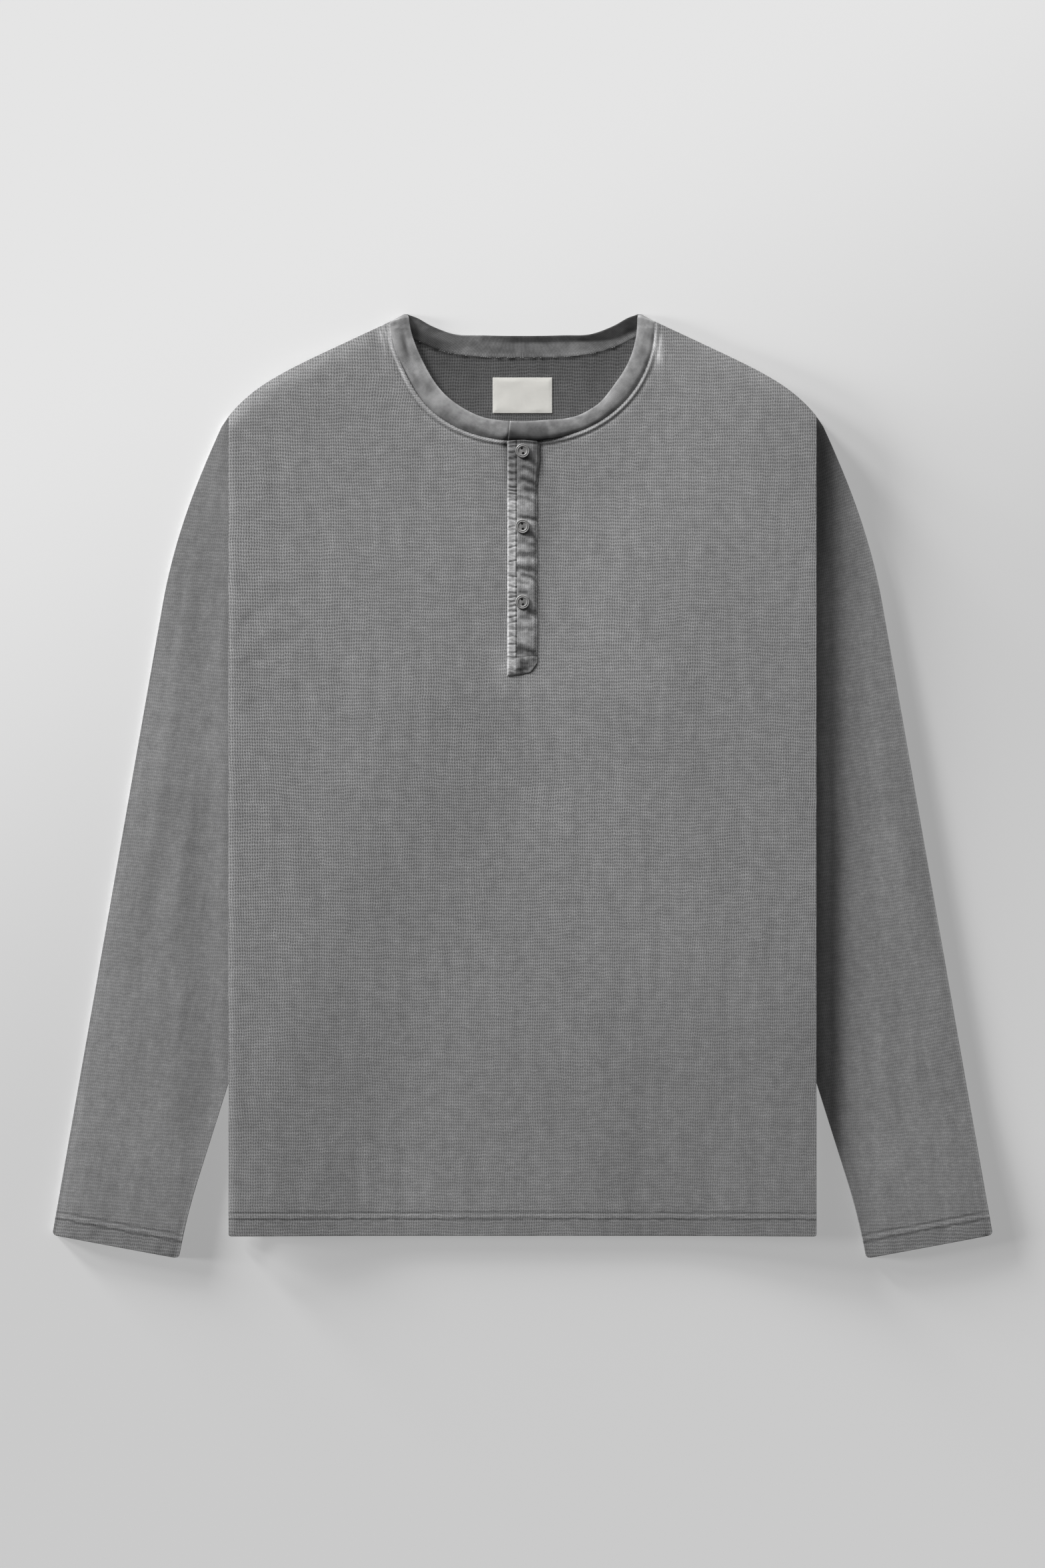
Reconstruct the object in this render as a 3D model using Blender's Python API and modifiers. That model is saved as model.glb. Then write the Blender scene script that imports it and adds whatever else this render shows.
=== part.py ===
"""A long-sleeved henley shirt laid flat on its back, with both sleeves folded behind the body.

Metres, +Z up, +Y towards the collar, and the origin on the ground in the middle of the outline.
Every cloth piece is a mapped grid, one face of its wall, that a Solidify modifier thickens. Heights are
stacked from the ground: sleeves, back, front, then the placket and its buttons.
"""

import math

import bmesh
import bpy

MM = 0.001

# Cloth and seams
WALL = 1.4 * MM  # waffle knit
RIB_WALL = 2.0 * MM  # the neckband is a strip folded double
TURNED_WALL = 2.2 * MM  # a turned hem or cuff
GAP = 0.3 * MM  # between pieces that are sewn or lie on each other
NECK_SEAM_GAP = 0.4 * MM  # between the neckband and the panels, whose edges are chords

# Body, each half measured from the middle
BODY_HALF = 226.6 * MM
HEM_Y = -346.3 * MM
HEM_DEPTH = 17.0 * MM
HEM_STEP = 3.0 * MM  # over which the turned wall thins out
NECK_HALF = 102.0 * MM  # neck seam at the shoulder
NECK_Y = 359.1 * MM
SHOULDER_FALL = 58.7 * MM
SHOULDER_ROUND = 14.9 * MM
SHOULDER_POWER = 6.5
FRONT_NECK_Y = 266.5 * MM
BACK_NECK_Y = 331.3 * MM
SCOOP_POWER = 2.15  # superellipse of the front neck
BACK_NECK_POWER = 3.3

# Neckband
BAND_PEAK_X = 88.6 * MM
BAND_PEAK_Y = 361.6 * MM
BAND_FRONT_Y = 281.7 * MM
BAND_BACK_Y = 347.8 * MM
BAND_FOLD_TOP = 4.8 * MM  # height of the double layer at the shoulder fold
BAND_INSET = 0.9 * MM  # the band's seam end stays this far inside the panels at the shoulder
BAND_CROWN = 0.5 * MM  # its middle stands this much higher than its edges
OVER_END_X = 11.7 * MM  # the upper end reaches this far past the middle
UNDER_END_X = 9.5 * MM
OVER_END_RISE = (42.0 * MM, 17.0 * MM)  # where the upper end starts and stops climbing over the lower

# Placket
SLOT_HALF = 11.3 * MM
SLOT_FOOT_Y = 88.0 * MM
OVER_LEFT_X = -11.7 * MM
OVER_RIGHT_X = 12.5 * MM
OVER_FOOT_Y = 85.4 * MM
OVER_WALL = 2.0 * MM
PUCKER_DEPTH = 0.8 * MM
PUCKER_PITCH = 17.0 * MM
PUCKER_SLANT = 0.35  # the puckers fall this much for each metre towards the sewn edge
FLANGE_X = -4.5 * MM  # the edge stitching, between the flange and the strip's body

# Buttons
BUTTON_HEIGHTS = {"button_top": 258.9 * MM, "button_middle": 200.7 * MM, "button_bottom": 142.4 * MM}
BUTTON_RADIUS = 5.5 * MM
BUTTON_THICK = 2.6 * MM
BUTTON_DISH = 0.7 * MM
BUTTON_RIM = 1.3 * MM
BUTTON_HOLE_RADIUS = 0.85 * MM
BUTTON_HOLE_Y = 2.0 * MM  # the two holes stand one above the other
BUTTON_STEPS = 24

# Label
LABEL_HALF = 22.9 * MM
LABEL_TOP_Y = 315.6 * MM
LABEL_FOOT_Y = 288.1 * MM
LABEL_THICK = 0.8 * MM

# Sleeves, for the one at +X
SLEEVE_SLANT = 0.17507  # the straight outer edge moves out this much for each metre down
CUFF_OUTER = (362.8 * MM, -345.5 * MM)
CUFF_INNER = (265.1 * MM, -363.7 * MM)
CUFF_DEPTH = 15.0 * MM
ARM_CURVE_Y = 140.0 * MM  # above this the outer edge curves in to the shoulder tip
SHOULDER_TIP = (226.6 * MM, 285.5 * MM)
SLEEVE_HEAD_OUTER = (222.5 * MM, 281.0 * MM)
UNDERARM = (134.0 * MM, 64.6 * MM)  # hidden behind the body
FOREARM_INNER = (249.4 * MM, -300.0 * MM)  # below this the inner edge bends towards the outer one
HEAD_RADIUS = 3.0 * MM  # of the closed head
SLEEVE_EDGE_RADIUS = 1.9 * MM  # of the folded edges
CUFF_EDGE_RADIUS = 2.8 * MM  # where the wall is turned
CUFF_SWELL_RUN = 120.0 * MM  # the tube grows to the cuff's thickness over this much
SLEEVE_PUFF = 1.5 * MM
SLEEVE_PUFF_START = 12.0 * MM  # beyond the body's edge
SLEEVE_PUFF_RUN = 30.0 * MM

# Heights of the body's layers
BACK_OVER_SLEEVE = 2 * SLEEVE_EDGE_RADIUS + GAP
TENT_MARGIN = 20.0 * MM  # the back stays lifted this far past the sleeve's edge
TENT_RUN = 45.0 * MM  # and comes down to the ground over this much
FRONT_LOFT = 2.2 * MM  # air between front and back
SIDE_LOFT = 5.5 * MM  # more along the rolled side edges
EDGE_ROLL = 6.0 * MM
SIDE_LOFT_RUN = 75.0 * MM
COLLAR_LIFT_RUN = 30.0 * MM  # the shoulder edge comes down to the back over this much

# Grid lines shared by front, back and neckband, so that their facets match
NECK_STEPS = 12
SHOULDER_STEPS = 8
PLAIN_ROWS = 11  # between the hem and the placket's foot
PLACKET_ROWS = 3  # and up to PLACKET_ROWS_TOP
PLACKET_ROWS_TOP = 212.0 * MM
ROLL_INSETS = (13.0 * MM, 6.0 * MM, 3.0 * MM, 1.0 * MM, 0.2 * MM, 0.0)  # from a side edge
TOP_INSETS = (40.0 * MM, 24.0 * MM, 12.0 * MM, 6.0 * MM, 3.0 * MM, 1.0 * MM, 0.0)  # from neck or shoulder
SLEEVE_ROWS = 18
SLEEVE_FLAT_POINTS = 6  # across each face of a sleeve, between its rounded edges
PUCKER_ROWS = 44
BAND_COLUMNS = 6
FOLD_ANGLES = (60.0, 20.0, -20.0, -60.0)

CLOTH_COLOUR = (0.205, 0.203, 0.208, 1.0)
RIB_COLOUR = (0.235, 0.232, 0.236, 1.0)
BUTTON_COLOUR = (0.045, 0.043, 0.045, 1.0)
LABEL_COLOUR = (0.55, 0.54, 0.51, 1.0)


def smooth(value):
    """0 below 0, 1 above 1, and a soft step between."""
    value = min(max(value, 0.0), 1.0)
    return value * value * (3.0 - 2.0 * value)


def quarter_round(value):
    """A quarter circle's height, from 0 at the rim to 1 at one radius in."""
    value = min(max(value, 0.0), 1.0)
    return math.sqrt(1.0 - (1.0 - value) ** 2)


def between(start, end, share):
    return tuple(a + (b - a) * share for a, b in zip(start, end))


# ---- outlines, as functions of the distance x from the middle


def shoulder_y(x):
    run = (abs(x) - NECK_HALF) / (BODY_HALF - NECK_HALF)
    return NECK_Y - SHOULDER_FALL * run - SHOULDER_ROUND * max(run, 0.0) ** SHOULDER_POWER


def front_neck_y(x):
    share = min(abs(x) / NECK_HALF, 1.0)
    return NECK_Y - (NECK_Y - FRONT_NECK_Y) * (1.0 - share**SCOOP_POWER) ** (1.0 / SCOOP_POWER)


def back_neck_y(x):
    share = min(abs(x) / NECK_HALF, 1.0)
    return BACK_NECK_Y + (NECK_Y - BACK_NECK_Y) * share**BACK_NECK_POWER


def neck_share(step):
    """Distance from the middle as a share of NECK_HALF, closer together where the scoop is steep."""
    first = math.asin(SLOT_HALF / NECK_HALF)
    return math.sin(first + (math.pi / 2 - first) * step / NECK_STEPS)


def body_columns(edge_x):
    """The x of the grid lines of one half of a panel, out to its edge."""
    columns = [0.0]
    columns += [NECK_HALF * neck_share(step) for step in range(NECK_STEPS + 1)]
    last = edge_x - 2 * ROLL_INSETS[0]
    columns += [NECK_HALF + (last - NECK_HALF) * (step + 1) / SHOULDER_STEPS for step in range(SHOULDER_STEPS)]
    return columns + [edge_x - inset for inset in ROLL_INSETS]


def level_rows():
    """The y of the straight grid lines: the hem, plain rows, the placket's foot and the rows beside it."""
    rows = [HEM_Y + depth for depth in (0.0, HEM_DEPTH / 2, HEM_DEPTH, HEM_DEPTH + HEM_STEP)]
    plain = (SLOT_FOOT_Y - rows[-1]) / PLAIN_ROWS
    rows += [rows[-1] + plain * (step + 1) for step in range(PLAIN_ROWS)]
    beside = (PLACKET_ROWS_TOP - SLOT_FOOT_Y) / PLACKET_ROWS
    return rows + [SLOT_FOOT_Y + beside * (step + 1) for step in range(PLACKET_ROWS)]


def curved_row_y(top, inset):
    """y of a grid line below the neck or shoulder line: close to it in shape, evening out further down."""
    spread = (top - PLACKET_ROWS_TOP) / (FRONT_NECK_Y - PLACKET_ROWS_TOP) - 1.0
    return top - inset * (1.0 + spread * inset / TOP_INSETS[0])


# ---- heights


def sleeve_distance(x, y):
    """How far a point of the body lies from the sleeve folded behind it, negative over the sleeve."""
    x = abs(x)
    edges = ((UNDERARM, FOREARM_INNER, 1.0), (UNDERARM, SHOULDER_TIP, -1.0))
    distances = []
    for start, end, side in edges:
        along = (end[0] - start[0], end[1] - start[1])
        length = math.hypot(*along)
        across = along[0] * (y - start[1]) - along[1] * (x - start[0])
        distances.append(-side * across / length)
    return max(distances)


def back_under(x, y):
    """Underside of the back: on the ground, or lifted by the sleeve."""
    return BACK_OVER_SLEEVE * (1.0 - smooth((sleeve_distance(x, y) - TENT_MARGIN) / TENT_RUN))


def body_wall(y):
    """Wall of front and back, thicker in the turned hem."""
    return TURNED_WALL if y < HEM_Y + HEM_DEPTH + HEM_STEP / 2 else WALL


def shoulder_distance(x, y):
    """Distance below the shoulder line, counted longer near the neck, where the band holds the front up."""
    drop = (shoulder_y(x) - y) / math.hypot(1.0, SHOULDER_FALL / (BODY_HALF - NECK_HALF))
    held = smooth((NECK_HALF + COLLAR_LIFT_RUN - abs(x)) / COLLAR_LIFT_RUN)
    return max(drop, 0.0) + EDGE_ROLL * held


def front_under(x, y):
    """Underside of the front: it meets the back at sides and shoulders and stands off it between."""
    side = BODY_HALF - WALL - abs(x)
    roll = quarter_round(min(side, shoulder_distance(x, y)) / EDGE_ROLL)
    loft = SIDE_LOFT + (FRONT_LOFT - SIDE_LOFT) * smooth(side / SIDE_LOFT_RUN)
    return back_under(x, y) + body_wall(y) + GAP + (loft - GAP) * roll


def front_top(x, y):
    return front_under(x, y) + body_wall(y)


# ---- making objects


def new_material(name, colour, roughness):
    material = bpy.data.materials.new(name)
    material.use_nodes = True
    shader = material.node_tree.nodes["Principled BSDF"]
    shader.inputs["Base Color"].default_value = colour
    shader.inputs["Roughness"].default_value = roughness
    shader.inputs["Metallic"].default_value = 0.0
    return material


def new_object(name, mesh_maker, material, collection):
    """An object from a bmesh, with its faces shaded smooth."""
    mesh = bpy.data.meshes.new(name)
    mesh_maker.to_mesh(mesh)
    mesh_maker.free()
    mesh.materials.append(material)
    mesh.shade_smooth()
    obj = bpy.data.objects.new(name, mesh)
    collection.objects.link(obj)
    return obj


def mapped_grid(columns, rows, place):
    """A grid of columns by rows points, each moved to place(column, row). Faces keep the grid's winding."""
    grid = bmesh.new()
    bmesh.ops.create_grid(grid, x_segments=columns - 1, y_segments=rows - 1, size=0.5)
    for vertex in grid.verts:
        column = round((vertex.co.x + 0.5) * (columns - 1))
        row = round((vertex.co.y + 0.5) * (rows - 1))
        vertex.co = place(column, row)
    return grid


def thicken(obj, wall, offset, thin_share=None, thick_points=()):
    """A Solidify wall. Points named in thick_points get the whole wall, the others thin_share of it."""
    solidify = obj.modifiers.new("Wall", "SOLIDIFY")
    solidify.thickness = wall
    solidify.offset = offset
    solidify.use_even_offset = False
    solidify.use_quality_normals = True
    if thin_share is not None:
        group = obj.vertex_groups.new(name="turned")
        group.add(list(thick_points), 1.0, "REPLACE")
        solidify.vertex_group = group.name
        solidify.thickness_vertex_group = thin_share
    return solidify


def thicken_panel(obj, offset):
    """A panel's wall, thicker in the turned hem."""
    hem_top = HEM_Y + HEM_DEPTH + HEM_STEP / 2
    turned = [vertex.index for vertex in obj.data.vertices if vertex.co.y < hem_top]
    thicken(obj, TURNED_WALL, offset, WALL / TURNED_WALL, turned)


# ---- body


def panel_grid(neck_y, edge_inset, height):
    """A grid over one panel: level rows from the hem, then rows that follow the shoulder and neck line."""
    half = body_columns(BODY_HALF - edge_inset)
    columns = [-x for x in reversed(half[1:])] + half
    low_rows = level_rows()

    def place(column, row):
        x = columns[column]
        if row < len(low_rows):
            y = low_rows[row]
        else:
            top = neck_y(x) - NECK_SEAM_GAP / 2 if abs(x) <= NECK_HALF else shoulder_y(x) - edge_inset
            y = curved_row_y(top, TOP_INSETS[row - len(low_rows)])
        return x, y, height(x, y)

    return mapped_grid(len(columns), len(low_rows) + len(TOP_INSETS), place)


def make_front(material, collection):
    grid = panel_grid(front_neck_y, WALL, front_under)
    slot = [
        face
        for face in grid.faces
        if abs(face.calc_center_median().x) < SLOT_HALF and face.calc_center_median().y > SLOT_FOOT_Y
    ]
    bmesh.ops.delete(grid, geom=slot, context="FACES")
    front = new_object("front", grid, material, collection)
    thicken_panel(front, 1.0)
    return front


def make_back(material, collection):
    grid = panel_grid(back_neck_y, GAP, lambda x, y: back_under(x, y) + body_wall(y))
    back = new_object("back", grid, material, collection)
    thicken_panel(back, -1.0)
    return back


# ---- sleeves


def outer_edge(y):
    """x of the sleeve's outer edge: straight, and curving in to the shoulder tip."""
    straight = CUFF_OUTER[0] - (y - CUFF_OUTER[1]) * SLEEVE_SLANT
    full = CUFF_OUTER[0] - (SHOULDER_TIP[1] - CUFF_OUTER[1]) * SLEEVE_SLANT - SHOULDER_TIP[0]
    rise = max(y - ARM_CURVE_Y, 0.0) / (SHOULDER_TIP[1] - ARM_CURVE_Y)
    return straight - full * rise**2


def inner_edge(y):
    """x of the sleeve's inner edge: straight from the underarm, and bending out near the cuff."""
    slant = (FOREARM_INNER[0] - UNDERARM[0]) / (UNDERARM[1] - FOREARM_INNER[1])
    straight = UNDERARM[0] + (UNDERARM[1] - y) * slant
    full = UNDERARM[0] + (UNDERARM[1] - CUFF_INNER[1]) * slant - CUFF_INNER[0]
    bend = max(FOREARM_INNER[1] - y, 0.0) / (FOREARM_INNER[1] - CUFF_INNER[1])
    return straight - full * bend**2


def sleeve_stations():
    """Rows from the hidden head to the cuff: outer point, inner point and roundness of the closed head."""
    stations = []
    head = math.dist(SLEEVE_HEAD_OUTER, UNDERARM)
    into_x = (SLEEVE_HEAD_OUTER[1] - UNDERARM[1]) / head
    into_y = (UNDERARM[0] - SLEEVE_HEAD_OUTER[0]) / head
    for share in (0.0, 0.3, 1.0):
        inset = HEAD_RADIUS * share
        outer = (SLEEVE_HEAD_OUTER[0] + into_x * inset, SLEEVE_HEAD_OUTER[1] + into_y * inset)
        inner = (UNDERARM[0] + into_x * inset, UNDERARM[1] + into_y * inset)
        pull = HEAD_RADIUS * (1.0 - quarter_round(share)) / head
        stations.append((between(outer, inner, pull), between(inner, outer, pull), quarter_round(share)))
    turned = [CUFF_DEPTH + HEM_STEP, CUFF_DEPTH, CUFF_DEPTH / 2, 0.0]
    lengths = [SLEEVE_HEAD_OUTER[1] - CUFF_OUTER[1], UNDERARM[1] - CUFF_INNER[1]]
    plain = [lengths[1] * (1.0 - step / SLEEVE_ROWS) for step in range(1, SLEEVE_ROWS)]
    for left in [length for length in plain if length > 1.5 * turned[0]] + turned:
        left_outer = left * (1.0 + (lengths[0] / lengths[1] - 1.0) * left / lengths[1])
        outer_y = CUFF_OUTER[1] + left_outer
        inner_y = CUFF_INNER[1] + left
        stations.append(((outer_edge(outer_y), outer_y), (inner_edge(inner_y), inner_y), 1.0))
    return stations


def sleeve_ring(outer, inner, rounding):
    """One flattened section, as (x, y, z) points round the tube from the inner edge's upper side."""
    swell = smooth((CUFF_OUTER[1] + CUFF_SWELL_RUN - outer[1]) / CUFF_SWELL_RUN)
    radius = SLEEVE_EDGE_RADIUS + (CUFF_EDGE_RADIUS - SLEEVE_EDGE_RADIUS) * swell
    width = math.dist(outer, inner)
    arc = [math.radians(angle) for angle in (-90, -45, 0, 45, 90)]
    shares = [(step + 1) / (SLEEVE_FLAT_POINTS + 1) for step in range(SLEEVE_FLAT_POINTS)]
    ring = [(radius * (1 - math.cos(turn)), radius * (1 + math.sin(turn))) for turn in reversed(arc)]
    ring += [(width * share, 0.0) for share in shares]
    ring += [(width - radius * (1 - math.cos(turn)), radius * (1 + math.sin(turn))) for turn in arc]
    for share in reversed(shares):
        x = between(inner, outer, share)[0]
        puff = smooth((x - BODY_HALF - SLEEVE_PUFF_START) / SLEEVE_PUFF_RUN)
        ring.append((width * share, 2 * radius + SLEEVE_PUFF * puff * math.sqrt(math.sin(math.pi * share))))
    points = []
    for offset, height in ring:
        x, y = between(inner, outer, offset / width)
        points.append((x, y, radius + (height - radius) * rounding))
    return points


def make_sleeve(name, side, material, collection):
    """A flattened tube, open at the cuff and closed round its hidden head. side is +1 or -1 in X."""
    rings = [sleeve_ring(*station) for station in sleeve_stations()]
    count = len(rings[0])

    def place(column, row):
        x, y, z = rings[row][column % count]
        return side * x, y, z

    grid = mapped_grid(count + 1, len(rings), place)
    turned = grid.verts.layers.int.new("turned")
    cuff_rows = {(round(side * x, 6), round(y, 6)) for ring in rings[-3:] for x, y, _ in ring}
    for vertex in grid.verts:
        vertex[turned] = (round(vertex.co.x, 6), round(vertex.co.y, 6)) in cuff_rows
    bmesh.ops.remove_doubles(grid, verts=grid.verts, dist=0.001 * MM)
    if side < 0:
        bmesh.ops.reverse_faces(grid, faces=grid.faces)
    cuff = [index for index, vertex in enumerate(grid.verts) if vertex[turned]]
    sleeve = new_object(name, grid, material, collection)
    thicken(sleeve, TURNED_WALL, -1.0, WALL / TURNED_WALL, cuff)
    return sleeve


# ---- neckband


def scoop_point(share, half, top_y, foot_y):
    """A point of the front scoop at a signed share of its half width."""
    rest = (1.0 - min(abs(share), 1.0) ** SCOOP_POWER) ** (1.0 / SCOOP_POWER)
    return share * half, top_y - (top_y - foot_y) * rest


def front_band_height(x, over):
    """Height of the band's outer face: level with the front, and climbing over the other end."""
    level = WALL + FRONT_LOFT + RIB_WALL
    start, stop = OVER_END_RISE
    climb = smooth((start - x) / (start - stop)) if over else 0.0
    fall = smooth((abs(x) - NECK_HALF / 2) / (NECK_HALF / 2))
    return level + (RIB_WALL + GAP) * climb + (BAND_FOLD_TOP - level) * fall


def front_band_station(share, over):
    """Seam point and free point of the front band at a signed share of the neck's half width."""
    seam_half = NECK_HALF - BAND_INSET
    seam = scoop_point(share, seam_half, NECK_Y, FRONT_NECK_Y + NECK_SEAM_GAP / 2)
    free = scoop_point(share, BAND_PEAK_X, BAND_PEAK_Y, BAND_FRONT_Y)
    height = front_band_height(share * seam_half, over)
    return (*seam, height), (*free, height)


def back_band_station(share):
    seam_x = share * (NECK_HALF - BAND_INSET)
    lift = abs(share) ** BACK_NECK_POWER
    seam = (seam_x, BACK_NECK_Y + (NECK_Y - BACK_NECK_Y) * lift + NECK_SEAM_GAP / 2, 0.0)
    free = (share * BAND_PEAK_X, BAND_BACK_Y + (BAND_PEAK_Y - BAND_BACK_Y) * lift, 0.0)
    return seam, free


def fold_station(side, angle):
    """The band turning over at the shoulder, angle running from 90 above to -90 degrees below."""
    seam = (side * (NECK_HALF - BAND_INSET), NECK_Y)
    free = (side * BAND_PEAK_X, BAND_PEAK_Y)
    line = (free[0] - seam[0], free[1] - seam[1])
    length = math.hypot(*line)
    radius = BAND_FOLD_TOP / 2
    reach = radius * math.cos(math.radians(angle))
    height = radius * (1 + math.sin(math.radians(angle)))
    out = (side * line[1] / length * reach, abs(line[0]) / length * reach)
    return (seam[0] + out[0], seam[1] + out[1], height), (free[0] + out[0], free[1] + out[1], height)


def band_stations():
    """The whole strip, from the lower end at the middle of the front round to the upper end."""
    shares = [neck_share(step) for step in range(NECK_STEPS + 1)]
    stations = [front_band_station(UNDER_END_X / NECK_HALF, False), front_band_station(0.0, False)]
    stations += [front_band_station(-share, False) for share in shares]
    stations += [fold_station(-1, angle) for angle in FOLD_ANGLES]
    stations += [back_band_station(-share) for share in reversed(shares)]
    stations += [back_band_station(0.0)]
    stations += [back_band_station(share) for share in shares]
    stations += [fold_station(1, -angle) for angle in FOLD_ANGLES]
    stations += [front_band_station(share, True) for share in reversed(shares)]
    return stations + [front_band_station(0.0, True), front_band_station(-OVER_END_X / NECK_HALF, True)]


def make_neckband(material, collection):
    stations = band_stations()

    def place(column, row):
        share = column / (BAND_COLUMNS - 1)
        x, y, z = between(*stations[row], share)
        on_top = smooth(z / BAND_FOLD_TOP)
        return x, y, z + BAND_CROWN * math.sin(math.pi * share) * on_top

    grid = mapped_grid(BAND_COLUMNS, len(stations), place)
    band = new_object("neckband", grid, material, collection)
    thicken(band, RIB_WALL, -1.0)
    return band


# ---- placket, buttons and label


def pucker(x, y):
    """Uneven waves along the upper strip, closer together on its flange and slanting on its body."""
    flange = x < FLANGE_X
    pitch = PUCKER_PITCH * (0.6 if flange else 1.0)
    slant = 0.0 if flange else PUCKER_SLANT
    turn = 2 * math.pi * (y + slant * x - OVER_FOOT_Y) / pitch
    wave = 0.5 * math.sin(turn) + 0.3 * math.sin(1.63 * turn + 1.0) + 0.2 * math.sin(0.41 * turn + 2.0)
    return PUCKER_DEPTH * (1.0 + wave) / 2


def make_placket_over(material, collection):
    """The upper strip, lying on the front from the neck seam to its foot, low along its edges and stitching."""
    columns = (
        (OVER_LEFT_X, 0.3),
        ((OVER_LEFT_X + FLANGE_X) / 2, 1.0),
        (FLANGE_X - 0.5 * MM, 0.5),
        (FLANGE_X + 0.5 * MM, 0.0),
        (0.0, 1.0),
        (OVER_RIGHT_X / 2, 1.0),
        (OVER_RIGHT_X - 1.5 * MM, 0.4),
        (OVER_RIGHT_X, 0.0),
    )
    top = FRONT_NECK_Y - NECK_SEAM_GAP / 2

    def place(column, row):
        x, share = columns[column]
        y = OVER_FOOT_Y + (top - OVER_FOOT_Y) * row / PUCKER_ROWS
        end = smooth(min(y - OVER_FOOT_Y, top - y) / PUCKER_PITCH)
        return x, y, front_top(x, y) + GAP + pucker(x, y) * share * end

    strip = new_object(
        "placket_over", mapped_grid(len(columns), PUCKER_ROWS + 1, place), material, collection
    )
    thicken(strip, OVER_WALL, 1.0)
    return strip


def make_placket_under(material, collection):
    """The lower strip, filling the slot of the front."""
    half = SLOT_HALF - GAP
    rows = 9
    foot = SLOT_FOOT_Y + GAP
    top = FRONT_NECK_Y - NECK_SEAM_GAP / 2

    def place(column, row):
        x = half * (column - 1)
        y = foot + (top - foot) * row / (rows - 1)
        return x, y, front_under(x, y)

    strip = new_object("placket_under", mapped_grid(3, rows, place), material, collection)
    thicken(strip, WALL, 1.0)
    return strip


def make_button_mesh(material, cutters):
    """A dished disc with a raised rim, turned from its profile, with two sewing holes bored through."""
    profile = (
        (0.0, BUTTON_THICK - BUTTON_DISH),
        (BUTTON_RADIUS - 2 * BUTTON_RIM, BUTTON_THICK - BUTTON_DISH),
        (BUTTON_RADIUS - BUTTON_RIM, BUTTON_THICK - 0.1 * MM),
        (BUTTON_RADIUS - 0.6 * MM, BUTTON_THICK),
        (BUTTON_RADIUS, BUTTON_THICK - 0.7 * MM),
        (BUTTON_RADIUS, 1.0 * MM),
        (BUTTON_RADIUS - 1.2 * MM, 0.0),
        (0.0, 0.0),
    )
    outline = bmesh.new()
    points = [outline.verts.new((x, 0.0, z)) for x, z in profile]
    for start, end in zip(points, points[1:]):
        outline.edges.new((start, end))
    disc = new_object("button_disc", outline, material, cutters)
    turn = disc.modifiers.new("Turn", "SCREW")
    turn.steps = BUTTON_STEPS
    turn.render_steps = BUTTON_STEPS
    turn.use_merge_vertices = True
    turn.merge_threshold = 0.00001
    for side in (-1, 1):
        hole = bmesh.new()
        bmesh.ops.create_cone(
            hole,
            cap_ends=True,
            segments=10,
            radius1=BUTTON_HOLE_RADIUS,
            radius2=BUTTON_HOLE_RADIUS,
            depth=4 * BUTTON_THICK,
        )
        cutter = new_object(f"button_hole_{side}", hole, material, cutters)
        cutter.location.y = side * BUTTON_HOLE_Y
        cutter.hide_render = True
        cutter.display_type = "WIRE"
        bore = disc.modifiers.new("Bore", "BOOLEAN")
        bore.operation = "DIFFERENCE"
        bore.object = cutter
    disc.hide_render = True
    disc.display_type = "WIRE"
    bpy.context.view_layer.update()
    graph = bpy.context.evaluated_depsgraph_get()
    mesh = bpy.data.meshes.new_from_object(disc.evaluated_get(graph))
    mesh.name = "button"
    return mesh


def make_buttons(material, collection, cutters):
    """Three copies of one button, down the middle of the upper strip."""
    mesh = make_button_mesh(material, cutters)
    for name, y in BUTTON_HEIGHTS.items():
        button = bpy.data.objects.new(name, mesh)
        rest = front_top(0.0, y) + GAP + PUCKER_DEPTH + OVER_WALL + GAP
        button.location = (0.0, y, rest)
        collection.objects.link(button)


def make_label(material, collection):
    """A plain woven rectangle on the inside of the back, below the neck seam."""
    box = bmesh.new()
    bmesh.ops.create_cube(box, size=1.0)
    size = (2 * LABEL_HALF, LABEL_TOP_Y - LABEL_FOOT_Y, LABEL_THICK)
    bmesh.ops.scale(box, vec=size, verts=box.verts)
    label = new_object("label", box, material, collection)
    label.location = (0.0, (LABEL_TOP_Y + LABEL_FOOT_Y) / 2, WALL + GAP + LABEL_THICK / 2)
    corners = label.modifiers.new("Corners", "BEVEL")
    corners.width = 0.25 * MM
    corners.segments = 1
    label.data.set_sharp_from_angle(angle=math.radians(30))
    return label


def clear_scene():
    for obj in list(bpy.data.objects):
        bpy.data.objects.remove(obj, do_unlink=True)


def new_collection(name):
    collection = bpy.data.collections.new(name)
    bpy.context.scene.collection.children.link(collection)
    return collection


def main():
    clear_scene()
    shirt = new_collection("henley_shirt")
    cutters = new_collection("cutters")
    cloth = new_material("waffle_cloth", CLOTH_COLOUR, 0.95)
    rib = new_material("rib_cloth", RIB_COLOUR, 0.95)
    plastic = new_material("button_plastic", BUTTON_COLOUR, 0.35)
    tape = new_material("label_tape", LABEL_COLOUR, 0.8)
    make_back(cloth, shirt)
    make_front(cloth, shirt)
    make_sleeve("sleeve_left", -1, cloth, shirt)
    make_sleeve("sleeve_right", 1, cloth, shirt)
    make_neckband(rib, shirt)
    make_placket_under(cloth, shirt)
    make_placket_over(cloth, shirt)
    make_buttons(plastic, shirt, cutters)
    make_label(tape, shirt)


main()
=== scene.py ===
import math

import bmesh
import bpy
from mathutils import Matrix, Vector, kdtree, noise


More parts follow.
